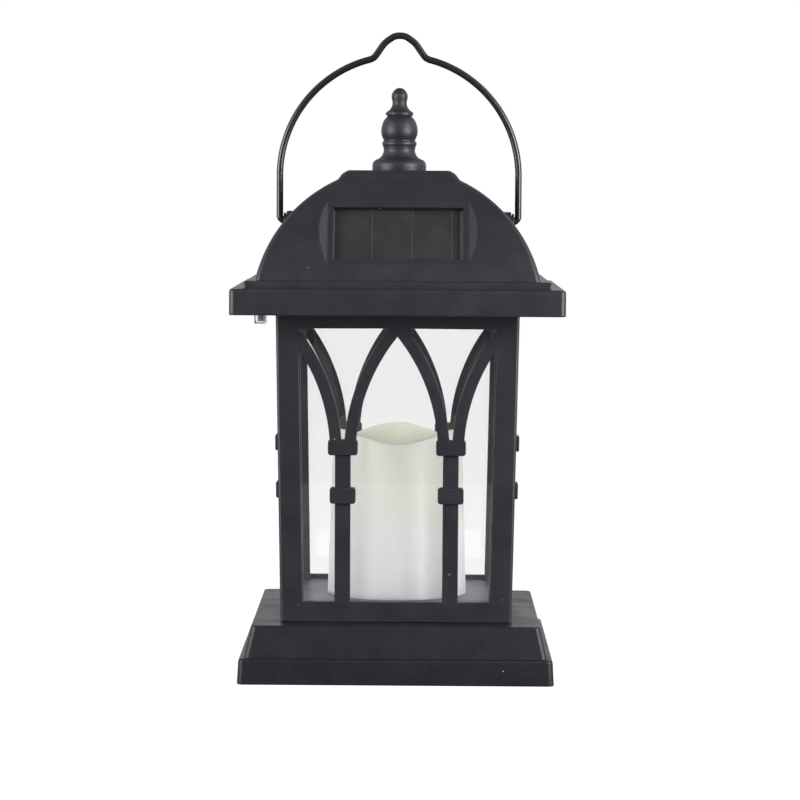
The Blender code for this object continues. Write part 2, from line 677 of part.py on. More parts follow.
def make_solar_panel():
    across, slope = PANEL_HALF
    panel = box_mesh("solar_panel", (-across, WINDOW_SHIFT - slope, -PANEL_DEPTH - PANEL_THICK),
                     (across, WINDOW_SHIFT + slope, -PANEL_DEPTH))
    panel.transform(on_pocket())
    add_part("solar_panel", panel, "solar_cells")

    low = -PANEL_DEPTH - PANEL_THICK - 0.2
    high = -PANEL_DEPTH - 0.1
    wide = across + 1.6
    tall = slope + 1.2
    room = GAP
    seal = box_mesh("solar_seal", (-wide, WINDOW_SHIFT - tall, low), (wide, WINDOW_SHIFT + tall, high))
    seal.transform(on_pocket())
    ring = add_part("solar_seal", seal, "seal_grey")
    cut(ring, pocket_cutter("seal_room", (-across - room, WINDOW_SHIFT - slope - room, low - 1),
                            (across + room, WINDOW_SHIFT + slope + room, high + 1)))


# ---------------------------------------------------------------- handle

def handle_points():
    """The wire's right half, from its end in the bush up to the middle of the hump."""
    reach = LEG_AT - LEG_BEND
    bend = arc((reach, PIVOT_HEIGHT + LEG_BEND), LEG_BEND, -90, 0, 4)
    kink = math.degrees(math.acos(KINK_AT / LEG_AT))
    bow = arc((0, LEG_TOP), LEG_AT, 0, kink, 14)
    return [(WIRE_END, PIVOT_HEIGHT), *bend, *bow, *HUMP]


def make_handle():
    half = [(across, 0, up) for across, up in handle_points()]
    points = [(-x, y, z) for x, y, z in half[:-1]] + half[::-1]
    handle = add_part("handle", wire_curve("handle", points, WIRE_RADIUS), "black_wire")
    pivot = Matrix.Translation((0, 0, PIVOT_HEIGHT * MM))
    handle.data.transform(pivot.inverted())
    handle.matrix_world = pivot

    sleeve = [(BUSH_FLANGE, BUSH_END), (BUSH_FLANGE, BOSS_END + GAP), (BUSH_SLEEVE, BOSS_END + GAP),
              (BUSH_SLEEVE, 43.0), (BUSH_BORE, 43.0), (BUSH_BORE, BOSS_END), (BUSH_MOUTH, BUSH_END)]
    for side, angle in (("left", -90), ("right", 90)):
        bush = add_part(f"{side}_handle_bush", profile_mesh(f"{side}_bush", sleeve, closed=True), "dark_plastic")
        place(turn(bush, steps=16), (0, 0, PIVOT_HEIGHT), (0, math.radians(angle), 0))


# ---------------------------------------------------------------- battery, board and switch

def make_battery():
    wide, deep = HOLDER_HALF
    x, y, z = BATTERY_AT
    bottom = TRAY_TOP + GAP
    holder = add_part("battery_holder", box_mesh("battery_holder", (-wide, y - deep, bottom),
                                                 (wide, y + deep, HOLDER_TOP)), "dark_plastic")
    wall = 1.6
    cut(holder, add_cutter("holder_room", box_mesh("holder_room", (wall - wide, y - deep + wall, bottom - 1),
                                                   (wide - wall, y + deep - wall, HOLDER_TOP - wall))))

    nub = 1.2
    cell = [(0, BATTERY_LONG + nub), (2.7, BATTERY_LONG + nub), (2.7, BATTERY_LONG), (6.6, BATTERY_LONG),
            (BATTERY_RADIUS, BATTERY_LONG - 0.7), (BATTERY_RADIUS, 0.5), (6.6, 0), (0, 0)]
    battery = add_part("battery_cell", profile_mesh("battery_cell", cell), "cell_sleeve")
    place(turn(battery, steps=20), BATTERY_AT, (0, math.radians(90), 0))

    plate = wide - wall - GAP
    add_part("battery_contact_plate", box_mesh("battery_contact_plate", (plate - 0.6, y - 5, z - 5),
                                               (plate, y + 5, z + 5)), "steel")
    coil = []
    start = -wide + wall + GAP + 0.4
    length = x - GAP - 0.4 - start
    turns = 3.5
    steps = 28
    for index in range(steps + 1):
        share = index / steps
        angle = 2 * math.pi * turns * share
        radius = 4.6 - 2.2 * share
        coil.append((start + length * share, y + radius * math.cos(angle), z + radius * math.sin(angle)))
    add_part("battery_contact_spring", wire_curve("battery_contact_spring", coil, 0.35), "steel")

    top = TRAY_BOTTOM - GAP
    door = add_part("battery_door", box_mesh("battery_door", (-wide - 2, y - deep - 2, top - 1.7),
                                             (DOOR_SCREW[0] + 3.5, y + deep + 2, top)), "dark_plastic")
    hole = cylinder_mesh("door_hole", CLEAR_RADIUS, top - 3, top + 1, 10)
    cut(door, place(add_cutter("door_hole", hole), (*DOOR_SCREW, 0)))
    add_screw("battery_door_screw", top - 1.7 - GAP - HEAD_TALL, 7.0, DOOR_SCREW, upward=True)


def make_board():
    board = add_part("circuit_board", box_mesh("circuit_board", BOARD_LOW, BOARD_HIGH), "board_green")
    top = BOARD_HIGH.z + GAP
    for side in (-1, 1):
        at = (side * BOARD_SCREW[0], BOARD_SCREW[1])
        hole = cylinder_mesh(f"board_hole_{side}", CLEAR_RADIUS, BOARD_LOW.z - 1, top + 1, 10)
        cut(board, place(add_cutter(f"board_hole_{side}", hole), at + (0,)))
        add_screw(f"board_screw_{'left' if side < 0 else 'right'}", top + HEAD_TALL, 7.0, at)
    add_part("controller_chip", box_mesh("controller_chip", (-9, -36, top), (-1, -30, top + 1.6)), "dark_plastic")
    coil = [(0, 4.6), (3.4, 4.6), (3.4, 3.7), (2.5, 3.4), (2.5, 1.2), (3.4, 0.9), (3.4, 0), (0, 0)]
    inductor = add_part("boost_inductor", profile_mesh("boost_inductor", coil), "copper")
    place(turn(inductor, steps=12), (8, -31, top))


def make_switch():
    x, y = SWITCH_AT
    flange = TRAY_TOP + GAP
    low = EAVE_BOTTOM - SWITCH_DROP
    boot = add_part("switch_boot", box_mesh("switch_boot", (x - SWITCH_HALF, y - SWITCH_HALF, low),
                                            (x + SWITCH_HALF, y + SWITCH_HALF, flange + 0.9)), "clear_plastic")
    rim = SWITCH_HALF + 1.2
    join(boot, add_cutter("boot_flange", box_mesh("boot_flange", (x - rim, y - rim, flange),
                                                  (x + rim, y + rim, flange + 0.9))))
    room = SWITCH_HALF - 0.8
    cut(boot, add_cutter("boot_room", box_mesh("boot_room", (x - room, y - room, low + 0.9),
                                               (x + room, y + room, flange + 2))))
    stem = cylinder_mesh("switch_plunger", 1.2, low + 1.2, flange + 1.4, 12)
    place(add_part("switch_plunger", stem, "switch_blue"), (x, y, 0))
    body = flange + 0.9 + SWITCH_TRAVEL + GAP + 0.3
    add_part("switch_body", box_mesh("switch_body", (x - 3.4, y - 3.4, body), (x + 3.4, y + 3.4, body + 4.4)),
             "dark_plastic")


def make_leads():
    """Insulated leads along their real routes: board to LED, to solar panel and to battery."""
    high = POST_AT_LOW + (BODY_TOP - BODY_BOTTOM) * math.tan(LEAN)
    low = POST_AT_LOW
    beside = BOARD_HIGH.x + 0.3 + LEAD_RADIUS
    to_led = [(beside, -30, 166.8), (33, -22, 165.5), (43, 6, 164.5), (46, 32, 164.8), (high, high - 1.2, 164.2),
              (high, high, 160), (high - 0.2, high - 0.2, 148), (low + 0.25, low + 0.25, 38), (low, low, 25),
              (low - 0.6, low - 0.6, 19.4), (37, 37, 17.6), (20, 20, 17.2), (5, 5, 17.6), (0.6, 0.6, 20),
              (0, 0, 25), (0, 0, 41.6)]
    panel_back = on_pocket() @ (Vector((6, -4, -PANEL_DEPTH - PANEL_THICK - 0.6 - LEAD_RADIUS)) * MM) / MM
    to_panel = [panel_back, panel_back + Vector((0, 4, -3)), (7, -43, 172.5), (5, -42, 168.8)]
    holder_edge = BATTERY_AT.y - HOLDER_HALF[1]
    to_battery = [(-26, holder_edge - 1.0, 168), (-26, holder_edge - 8, 168.4), (-24.6, -24, 168.0),
                  (BOARD_LOW.x - 0.9, -30, 166.8)]
    leads = (("led_lead", to_led, 70, "lead_red"), ("solar_lead", to_panel, 10, "lead_black"),
             ("battery_lead", to_battery, 12, "lead_red"))
    for name, route, count, finish in leads:
        add_part(name, wire_curve(name, smooth_route(route, count), LEAD_RADIUS), finish)


def main():
    make_base()
    make_base_cover()
    make_floor_plate()
    make_windows()
    make_corner_posts()
    make_candle()
    make_roof()
    make_roof_tray()
    make_finial()
    make_solar_panel()
    make_handle()
    make_battery()
    make_board()
    make_switch()
    make_leads()


main()
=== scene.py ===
import math

import bmesh
import bpy
from mathutils import Matrix, Vector


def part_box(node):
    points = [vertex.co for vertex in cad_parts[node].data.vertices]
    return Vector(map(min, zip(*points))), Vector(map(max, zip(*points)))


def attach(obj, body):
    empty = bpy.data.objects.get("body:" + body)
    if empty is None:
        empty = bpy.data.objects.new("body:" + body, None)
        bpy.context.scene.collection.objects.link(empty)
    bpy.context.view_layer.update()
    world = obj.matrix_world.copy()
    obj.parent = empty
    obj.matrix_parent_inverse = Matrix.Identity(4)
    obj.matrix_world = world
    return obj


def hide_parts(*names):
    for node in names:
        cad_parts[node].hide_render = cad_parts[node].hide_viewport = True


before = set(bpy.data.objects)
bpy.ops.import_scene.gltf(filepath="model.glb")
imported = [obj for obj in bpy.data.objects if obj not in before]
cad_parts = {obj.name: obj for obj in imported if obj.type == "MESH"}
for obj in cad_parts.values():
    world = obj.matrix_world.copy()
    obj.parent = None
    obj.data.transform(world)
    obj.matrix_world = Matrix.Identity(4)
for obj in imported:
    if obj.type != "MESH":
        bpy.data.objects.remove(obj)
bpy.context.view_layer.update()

scene = bpy.context.scene

# Sizes in millimetres, as in the CAD model
MM = 0.001
SKIRT_HALF = 68.0
SKIRT_HALF_HIGH = 67.4
SKIRT_TOP = 11.1
TIER_HALF_LOW = 65.2
TIER_HALF_HIGH = 62.1
BASE_TOP = 24.8
BASE_WALL = 2.3
BASE_CORNER = 2.6

BODY_BOTTOM = 25.1
BODY_TOP = 159.0
BODY_HALF_LOW = 50.1
BODY_LEAN = math.atan2(2.4, 133.2)
FRAME_THICK = 3.0
FRAME_CORNER = 1.3
FRAME_EDGE = 0.4
RAIL_TOP = 8.6
HEADER_BOTTOM = 127.2
LIGHT_HALF_LOW = 40.55
LIGHT_HALF_HIGH = 42.7
MULLION_AT = 23.3
MULLION_WIDE = 6.8
SPRING_HEIGHT = 73.0
RIB_RADIUS = 83.6
RIB_WIDE = 5.1
RIB_CENTRE = 63.3
COLLAR_PROUD = 2.0
COLLARS = ((12.9, 72.5, 79.2), (11.2, 51.5, 58.5))

EAVE_HALF = 71.5
EAVE_BOTTOM = 158.4
EAVE_TOP = 169.7
STEP_HALF = 65.65
STEP_TOP = 172.9
DOME_RADIUS = 62.5
DOME_CENTRE = 159.6
DOME_WALL = 2.2
CAP_BOTTOM = 216.0
CAP_TOP = 220.2
CAP_HALF = 22.3
ROOF_CORNER = 2.4
POCKET_LOW = Vector((-59.0, 180.1))
POCKET_HIGH = Vector((-40.3, 207.4))
POCKET_HALF = 30.2
POCKET_FLARE = 1.75
POCKET_WALL = 2.0
BACKING_HALF = 31.0
WINDOW_HALF = 28.0
WINDOW_TALL = 26.7
WINDOW_SHIFT = -0.67
PANEL_HALF = (30.0, 15.0)
PANEL_THICK = 1.8
PANEL_DEPTH = 2.5
CELL_EDGES = ((-27.2, -11.35), (-11.05, 5.85), (6.15, 23.0), (23.3, 26.4))

PIVOT_HEIGHT = 197.5
WIRE_RADIUS = 1.5
WIRE_END = 41.0
LEG_AT = 53.0
LEG_TOP = 217.9
LEG_BEND = 2.8
KINK_AT = 13.3
HUMP = ((12.0, 269.8), (11.1, 270.5), (9.6, 272.5), (7.75, 275.2), (6.45, 276.7), (4.8, 278.0),
        (2.5, 279.4), (0.0, 279.8))
WIRE_STRAIGHT = 46.0
WIRE_SIDES = 20
BOSS_RADIUS = 4.6
BOSS_ROOT = 44.0
BOSS_END = 49.9
BUSH_FLANGE = 3.8
BUSH_SLEEVE = 3.0
BUSH_BORE = 1.8
BUSH_MOUTH = 2.6
BUSH_END = 51.2
BUSH_INNER_END = 43.0
BUSH_SIDES = 40

CANDLE_LOW = 31.95
CANDLE_RADIUS_LOW = 30.9
CANDLE_RADIUS_HIGH = 28.85
CANDLE_WALL = 1.4
CANDLE_RIM = 103.3
RIM_WAVE = 2.6
RIM_WAVES = 3
CANDLE_SIDES = 144

SWITCH_AT = (-59.7, -35.0)
SWITCH_HALF = 2.7
SWITCH_LOW = 153.3
SWITCH_FLANGE = 161.7
HEAD_RADIUS = 2.6
HEAD_TALL = 1.2
SHANK_RADIUS = 1.15
CROSS_SLOT = (2.7, 0.55, 1.5)

# The finial's outline from its top down, as smooth runs of radius and height above the cap
FINIAL = (
    ((0.0, 36.6), (2.0, 35.9), (3.3, 34.15), (3.6, 32.6), (3.2, 30.4), (3.35, 28.7), (4.4, 26.9),
     (5.6, 26.05), (5.9, 25.85)),
    ((5.9, 25.8), (6.1, 25.45), (6.1, 24.75), (5.9, 24.4), (5.5, 24.26)),
    ((5.4, 23.96), (6.9, 22.2), (7.75, 20.0), (8.15, 17.6), (7.85, 15.5), (6.95, 13.35)),
    ((7.0, 13.02), (7.45, 12.75), (7.65, 12.3), (7.65, 11.6), (7.5, 11.24)),
    ((7.35, 11.04), (7.0, 9.4), (7.1, 8.1), (7.9, 6.4), (9.1, 5.35), (10.8, 4.5), (11.7, 3.4),
     (11.95, 2.2), (11.95, 0.05)),
)
FINIAL_SIDES = 72

# Degrees between faces from which an edge is shaded sharp
SHARP = 38.0
SHARP_ROOF = 32.0
SHARP_FINIAL = 44.0
SHARP_WIRE = 60.0
SHARP_FLAT = 5.0


# -------- nodes

def feed(tree, socket, value):
    """Link the socket to another node's output, or set its value."""
    if isinstance(value, bpy.types.NodeSocket):
        tree.links.new(value, socket)
    else:
        socket.default_value = value


def maths(tree, operation, *values):
    made = tree.nodes.new("ShaderNodeMath")
    made.operation = operation
    for socket, value in zip(made.inputs, values):
        feed(tree, socket, value)
    return made.outputs[0]


def map_range(tree, value, low, high, to_low, to_high):
    made = tree.nodes.new("ShaderNodeMapRange")
    for name, number in (("Value", value), ("From Min", low), ("From Max", high),
                         ("To Min", to_low), ("To Max", to_high)):
        feed(tree, made.inputs[name], number)
    return made.outputs["Result"]


def show_mix(tree, output, factor, one, other):
    """Give the output a mix of two shaders."""
    mix = tree.nodes.new("ShaderNodeMixShader")
    for socket, value in zip(mix.inputs, (factor, one, other)):
        tree.links.new(value, socket)
    tree.links.new(mix.outputs[0], tree.nodes[output].inputs["Surface"])


# -------- materials

class Surface:
    """A Principled material, with patterns in object coordinates (metres)."""

    def __init__(self, name, **sockets):
        self.material = bpy.data.materials.new(name)
        self.material.use_nodes = True
        self.tree = self.material.node_tree
        self.shader = self.tree.nodes["Principled BSDF"]
        for socket, value in sockets.items():
            self.shader.inputs[socket.replace("_", " ")].default_value = value
        self.place = self.node("ShaderNodeTexCoord").outputs["Object"]

    def node(self, kind, **inputs):
        made = self.tree.nodes.new(kind)
        for key, value in inputs.items():
            feed(self.tree, made.inputs[key.replace("_", " ")], value)
        return made

    def stretched(self, x, y, z):
        return self.node("ShaderNodeMapping", Vector=self.place, Scale=(x, y, z)).outputs["Vector"]

    def noise(self, scale, detail=2.0, place=None):
        return self.node("ShaderNodeTexNoise", Vector=place or self.place, Scale=scale,
                         Detail=detail).outputs["Fac"]

    def cells(self, scale, place=None):
        return self.node("ShaderNodeTexVoronoi", Vector=place or self.place, Scale=scale).outputs

    def red(self, colour):
        """One channel of a cell's random colour, as a random number for each cell."""
        return self.node("ShaderNodeSeparateColor", Color=colour).outputs[0]

    def spread(self, value, low, high, start=0.3, end=0.7):
        """From low to high while the value goes from start to end."""
        return map_range(self.tree, value, start, end, low, high)

    def mixed(self, factor, low, high):
        made = self.tree.nodes.new("ShaderNodeMix")
        made.data_type = "RGBA"
        for index, value in ((0, factor), (6, low), (7, high)):
            value = (*value, 1.0) if isinstance(value, tuple) else value
            feed(self.tree, made.inputs[index], value)
        return made.outputs[2]

    def set(self, socket, value):
        self.tree.links.new(value, self.shader.inputs[socket])

    def bump(self, *layers):
        """Layers of (height, depth in metres), each on top of the one before."""
        normal = None
        for height, depth in layers:
            made = self.node("ShaderNodeBump", Height=height, Distance=depth, Strength=1.0)
            if normal:
                self.tree.links.new(normal, made.inputs["Normal"])
            normal = made.outputs["Normal"]
        self.set("Normal", normal)


def moulded_plastic(name, dark, light, rough, dust=0.0, sheen=0.5):
    """Injection-moulded ABS: fine spark-eroded grain, slight flow variation and stray dust."""
    skin = Surface(name, IOR=1.5, Specular_IOR_Level=sheen)
    flow = skin.noise(24.0, 4.0)
    colour = skin.mixed(skin.spread(flow, 0.0, 1.0), dark, light)
    fine = skin.noise(1500.0, 3.0)
    pale = tuple(2.4 * part for part in light)
    colour = skin.mixed(skin.spread(fine, 0.0, 0.5, 0.5, 0.72), colour, pale)
    if dust:
        specks = skin.cells(260.0)
        near = skin.spread(specks["Distance"], 1.0, 0.0, 0.05, 0.11)
        chosen = skin.spread(skin.red(specks["Color"]), 0.0, 1.0, 1.0 - dust, 1.0 - dust * 0.5)
        colour = skin.mixed(maths(skin.tree, "MULTIPLY", near, chosen), colour, (0.32, 0.32, 0.34))
    skin.set("Base Color", colour)
    skin.set("Roughness", skin.spread(skin.noise(95.0, 3.0), rough - 0.05, rough + 0.06))
    skin.bump((skin.noise(260.0, 2.0), 0.00003), (fine, 0.00003))
    return skin.material


CANDLE_PAINTED_REFLECTION_EDGE = (0.0645, 0.0665)  # metres above the ground: below this band the sleeve is painted bluer, a painted reflection of the table's edge
EPOXY = {"IOR": 1.5, "Specular_IOR_Level": 0.2, "Coat_Weight": 0.22, "Coat_Roughness": 0.12,
         "Coat_IOR": 1.5}


def satin_wire():
    skin = Surface("black_coated_wire", IOR=1.5)
    wear = skin.spread(skin.noise(70.0, 4.0), 0.0, 1.0, 0.45, 0.75)
    skin.set("Base Color", skin.mixed(wear, (0.008, 0.008, 0.009), (0.014, 0.0135, 0.015)))
    skin.set("Roughness", skin.spread(skin.noise(90.0, 3.0), 0.24, 0.29))
    skin.bump((skin.noise(120.0, 1.0), 0.000002))
    return skin.material


def clear_plastic():
    skin = Surface("clear_window_plastic", Transmission_Weight=1.0, IOR=1.47)
    haze = skin.noise(38.0, 4.0)
    skin.set("Base Color", skin.mixed(haze, (0.965, 0.967, 0.967), (0.955, 0.958, 0.958)))
    skin.set("Roughness", skin.spread(haze, 0.0, 0.035, 0.4, 0.75))
    skin.bump((skin.noise(11.0, 1.0), 0.00004))
    return let_lamps_through(skin)


def let_lamps_through(skin):
    """Glass casts no shadow of its own on what it encloses."""
    clear = skin.node("ShaderNodeBsdfTransparent", Color=(0.9, 0.9, 0.9, 1.0))
    rays = skin.node("ShaderNodeLightPath")
    show_mix(skin.tree, "Material Output", rays.outputs["Is Shadow Ray"], skin.shader.outputs[0],
             clear.outputs[0])
    return skin.material


def candle_plastic():
    """Warmer above a set height and bluer below it, the bluer part a painted reflection of the
    table's edge; clouded all over.
    """
    skin = Surface("translucent_candle_plastic", IOR=1.48, Subsurface_Weight=1.0,
                   Subsurface_Scale=0.004)
    skin.shader.inputs["Subsurface Radius"].default_value = (1.0, 0.95, 0.75)
    height = skin.node("ShaderNodeSeparateXYZ", Vector=skin.place).outputs["Z"]
    above_painted_reflection = skin.spread(height, 0.0, 1.0, *CANDLE_PAINTED_REFLECTION_EDGE)
    # The bluer tone below the band is a painted reflection of the table's edge, not the sleeve's
    # own colour
    tone = skin.mixed(above_painted_reflection, (0.885, 0.89, 0.815), (0.885, 0.89, 0.735))
    cloud = skin.spread(skin.noise(30.0, 4.0), 0.0, 0.5)
    skin.set("Base Color", skin.mixed(cloud, tone, (0.87, 0.875, 0.74)))
    skin.set("Roughness", skin.spread(skin.noise(120.0, 3.0), 0.36, 0.47))
    skin.bump((skin.noise(26.0, 2.0), 0.00012), (skin.noise(1300.0, 2.0), 0.000006))
    return skin.material


def silicone():
    skin = Surface("clear_silicone", Transmission_Weight=0.95, IOR=1.41)
    cloud = skin.noise(420.0, 3.0)
    skin.set("Base Color", skin.mixed(cloud, (0.88, 0.885, 0.89), (0.94, 0.94, 0.945)))
    skin.set("Roughness", skin.spread(cloud, 0.02, 0.08))
    skin.bump((skin.noise(300.0, 1.0), 0.000002))
    return let_lamps_through(skin)


def solar_wafer():
    skin = Surface("solar_wafer", **EPOXY)
    crystal = skin.red(skin.cells(170.0)["Color"])
    flecks = skin.spread(skin.noise(1500.0, 2.0), 0.0, 0.4, 0.5, 0.8)
    tone = skin.mixed(crystal, (0.021, 0.0198, 0.0205), (0.0255, 0.0238, 0.0245))
    skin.set("Base Color", skin.mixed(flecks, tone, (0.036, 0.032, 0.032)))
    skin.set("Roughness", skin.spread(crystal, 0.32, 0.42, 0.0, 1.0))
    skin.bump((skin.noise(800.0, 2.0), 0.000008))
    return skin.material


def panel_backing():
    skin = Surface("solar_panel_backing", **EPOXY)
    grain = skin.noise(1100.0, 3.0)
    skin.set("Base Color", skin.mixed(grain, (0.065, 0.064, 0.068), (0.10, 0.10, 0.105)))
    skin.set("Roughness", skin.spread(grain, 0.35, 0.5))
    skin.bump((grain, 0.00001))
    return skin.material


def metal(name, colour, rough):
    skin = Surface(name, Metallic=1.0)
    streak = skin.noise(160.0, 4.0, skin.stretched(1.0, 9.0, 1.0))
    skin.set("Base Color", skin.mixed(streak, tuple(0.82 * part for part in colour), colour))
    skin.set("Roughness", skin.spread(streak, rough - 0.07, rough + 0.1))
    skin.bump((streak, 0.000008))
    return skin.material


def coloured_plastic(name, colour, rough, **sockets):
    skin = Surface(name, IOR=1.5, **sockets)
    cloud = skin.noise(240.0, 3.0)
    skin.set("Base Color", skin.mixed(cloud, tuple(0.86 * part for part in colour), colour))
    skin.set("Roughness", skin.spread(cloud, rough - 0.05, rough + 0.06))
    skin.bump((skin.noise(1400.0, 2.0), 0.000008))
    return skin.material


def circuit_green():
    skin = Surface("circuit_board_green", IOR=1.5)
    lanes = skin.cells(330.0, skin.stretched(1.0, 0.35, 1.0))["Distance"]
    between = skin.spread(lanes, 0.0, 1.0, 0.3, 0.36)
    skin.set("Base Color", skin.mixed(between, (0.012, 0.1, 0.045), (0.03, 0.2, 0.09)))
    skin.set("Roughness", skin.spread(skin.noise(500.0, 2.0), 0.3, 0.45))
    skin.bump((lanes, 0.00003))
    return skin.material


BLACK_TONES = ((0.0088, 0.0082, 0.0125), (0.0112, 0.0105, 0.0155))
BLACK = moulded_plastic("black_moulded_plastic", *BLACK_TONES, 0.44, 0.035)
# The base takes a darker copy of the black plastic: painted shade for the low-lying base, where
# less light reaches
BLACK_PAINTED_SHADE = moulded_plastic("black_base_plastic_painted_shade", (0.007, 0.0065, 0.010), (0.009, 0.0085, 0.0125),
                             0.44, 0.035, sheen=0.32)
BLACK_FINE = moulded_plastic("black_trim_plastic", *BLACK_TONES, 0.48)
DARK = moulded_plastic("dark_inner_plastic", (0.072, 0.072, 0.103), (0.085, 0.085, 0.121), 0.40,
                       0.03)
WIRE = satin_wire()
CLEAR = clear_plastic()
CANDLE = candle_plastic()
SILICONE = silicone()
WAFER = solar_wafer()
BACKING = panel_backing()
STEEL = metal("zinc_plated_steel", (0.66, 0.66, 0.67), 0.3)
COPPER = metal("copper_winding", (0.75, 0.42, 0.25), 0.32)
GREEN = circuit_green()
BLUE = coloured_plastic("switch_blue_plastic", (0.045, 0.062, 0.095), 0.4)
SLEEVE = coloured_plastic("cell_sleeve_plastic", (0.08, 0.3, 0.16), 0.3)
RED_LEAD = coloured_plastic("red_lead_insulation", (0.45, 0.02, 0.02), 0.4)
BLACK_LEAD = coloured_plastic("black_lead_insulation", (0.02, 0.02, 0.02), 0.4)
SEAL = coloured_plastic("grey_seal_rubber", (0.2, 0.2, 0.21), 0.7)
LENS = coloured_plastic("led_lens", (0.95, 0.93, 0.8), 0.12, Transmission_Weight=0.7)


# -------- mesh tools

def eased(path, steps=3):
    """Points along a path of (corner, ease): each corner is rounded that far on both sides."""
    points = []
    for index, (corner, ease) in enumerate(path):
        corner = Vector(corner)
        if not ease:
            points.append(corner)
            continue
        before, after = Vector(path[index - 1][0]), Vector(path[index + 1][0])
        start = corner.lerp(before, ease / (before - corner).length)
        end = corner.lerp(after, ease / (after - corner).length)
        for step in range(steps + 1):
            t = step / steps
            points.append(start * (1 - t) ** 2 + corner * 2 * t * (1 - t) + end * t ** 2)
    return points


def smooth_line(points, steps=6):
    """A Catmull-Rom line through the points."""
    points = [Vector(point) for point in points]
    padded = [2 * points[0] - points[1], *points, 2 * points[-1] - points[-2]]
    line = []
    for a, b, c, d in zip(padded, padded[1:], padded[2:], padded[3:]):
        for index in range(steps):
            t = index / steps
            line.append(0.5 * (2 * b + (c - a) * t + (2 * a - 5 * b + 4 * c - d) * t ** 2
                               + (3 * b - a - 3 * c + d) * t ** 3))
    line.append(points[-1])
    return line


def rounded_box(centre, half, corner, inset, steps):
    """The (x, y) points round a box with rounded corners, all drawn in by the inset."""
    points = []
    for quarter in range(4):
        middle = math.radians(-45 + 90 * quarter)
        side, end = math.copysign(1, math.cos(middle)), math.copysign(1, math.sin(middle))
        for step in range(steps + 1):
            angle = middle + math.radians(-45 + 90 * step / steps)
            points.append((
                centre[0] + side * (half[0] - corner) + (corner - inset) * math.cos(angle),
                centre[1] + end * (half[1] - corner) + (corner - inset) * math.sin(angle)))
    return points


def square_ring(half, height, corner, centre=(0, 0)):
    """A level ring: a square with rounded corners."""
    return [(*point, height) for point in rounded_box(centre, (half, half), corner, 0.0, 6)]


def turned(outline, sides):
    """Rings round Z through an outline of (radius, height)."""
    angles = [2 * math.pi * index / sides for index in range(sides)]
    return [[(radius * math.cos(angle), radius * math.sin(angle), height) for angle in angles]
            for radius, height in outline]


def skin_loops(shape, near, far):
    for index in range(len(near)):
        after = (index + 1) % len(near)
        shape.faces.new((near[index], near[after], far[after], far[index]))


def add_rings(shape, rings, closed=False, unit=MM):
    """Skin a stack of rings with equal counts, with flat caps unless it closes on itself."""
    rows = [[shape.verts.new(Vector(point) * unit) for point in ring] for ring in rings]
    pairs = list(zip(rows, rows[1:]))
    if closed:
        pairs.append((rows[-1], rows[0]))
    else:
        shape.faces.new(rows[0])
        shape.faces.new(rows[-1])
    for low, high in pairs:
        skin_loops(shape, low, high)
    return rows


# How far in the middle of a quarter round lies, as a share of its radius
ROUND_MIDDLE = 0.29


def block_rings(low, high, corner, ease, place):
    """A block between two corners, rounded seen along its own Z, with eased ends."""
    centre = Vector((low[0] + high[0], low[1] + high[1])) / 2
    half = Vector((high[0] - low[0], high[1] - low[1])) / 2
    ends = [(ease, 0.0), (ease * ROUND_MIDDLE, ease * ROUND_MIDDLE), (0.0, ease)]
    levels = [(inset, low[2] + rise) for inset, rise in ends]
    levels += [(inset, high[2] - rise) for inset, rise in ends[::-1]]
    return [[place @ Vector((*point, level))
             for point in rounded_box(centre, half, corner, inset, 5)] for inset, level in levels]


def shade(mesh, sharp):
    mesh.shade_smooth()
    mesh.set_sharp_from_angle(angle=math.radians(sharp))
    return mesh


def to_mesh(name, shape, sharp=SHARP):
    bmesh.ops.recalc_face_normals(shape, faces=shape.faces)
    mesh = bpy.data.meshes.new(name)
    shape.to_mesh(mesh)
    shape.free()
    return shade(mesh, sharp)


def ring_mesh(name, rings, closed=False, sharp=SHARP):
    shape = bmesh.new()
    add_rings(shape, rings, closed)
    return to_mesh(name, shape, sharp)


def add_piece(name, mesh, material, body, *nodes, slot=None):
    piece = bpy.data.objects.new(name, mesh)
    scene.collection.objects.link(piece)
    mesh.materials.clear()
    mesh.materials.append(material)
    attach(piece, body)
    if nodes:
        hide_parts(*nodes)
    return piece


def level_normals(piece):
    """Keep flat faces flat-shaded where they meet eased edges."""
    step = piece.modifiers.new("level_normals", "WEIGHTED_NORMAL")
    step.keep_sharp = True
    step.weight = 80


def carved(name, mesh, *steps, sharp=SHARP):
    """The mesh after exact booleans: each step is (operation, tool mesh)."""
    target = bpy.data.objects.new(name, mesh)
    scene.collection.objects.link(target)
    tools = []
    for operation, tool_mesh in steps:
        tool = bpy.data.objects.new(f"{name}_{operation.lower()}", tool_mesh)
        scene.collection.objects.link(tool)
        cut = target.modifiers.new(operation, "BOOLEAN")
        cut.operation = operation
        cut.solver = "EXACT"
        cut.object = tool
        tools.append(tool)
    graph = bpy.context.evaluated_depsgraph_get()
    made = bpy.data.meshes.new_from_object(target.evaluated_get(graph))
    for item in (target, *tools):
        bpy.data.objects.remove(item)
    made.name = name
    return shade(made, sharp)


# -------- base

BASE_INNER_CORNER = 0.6


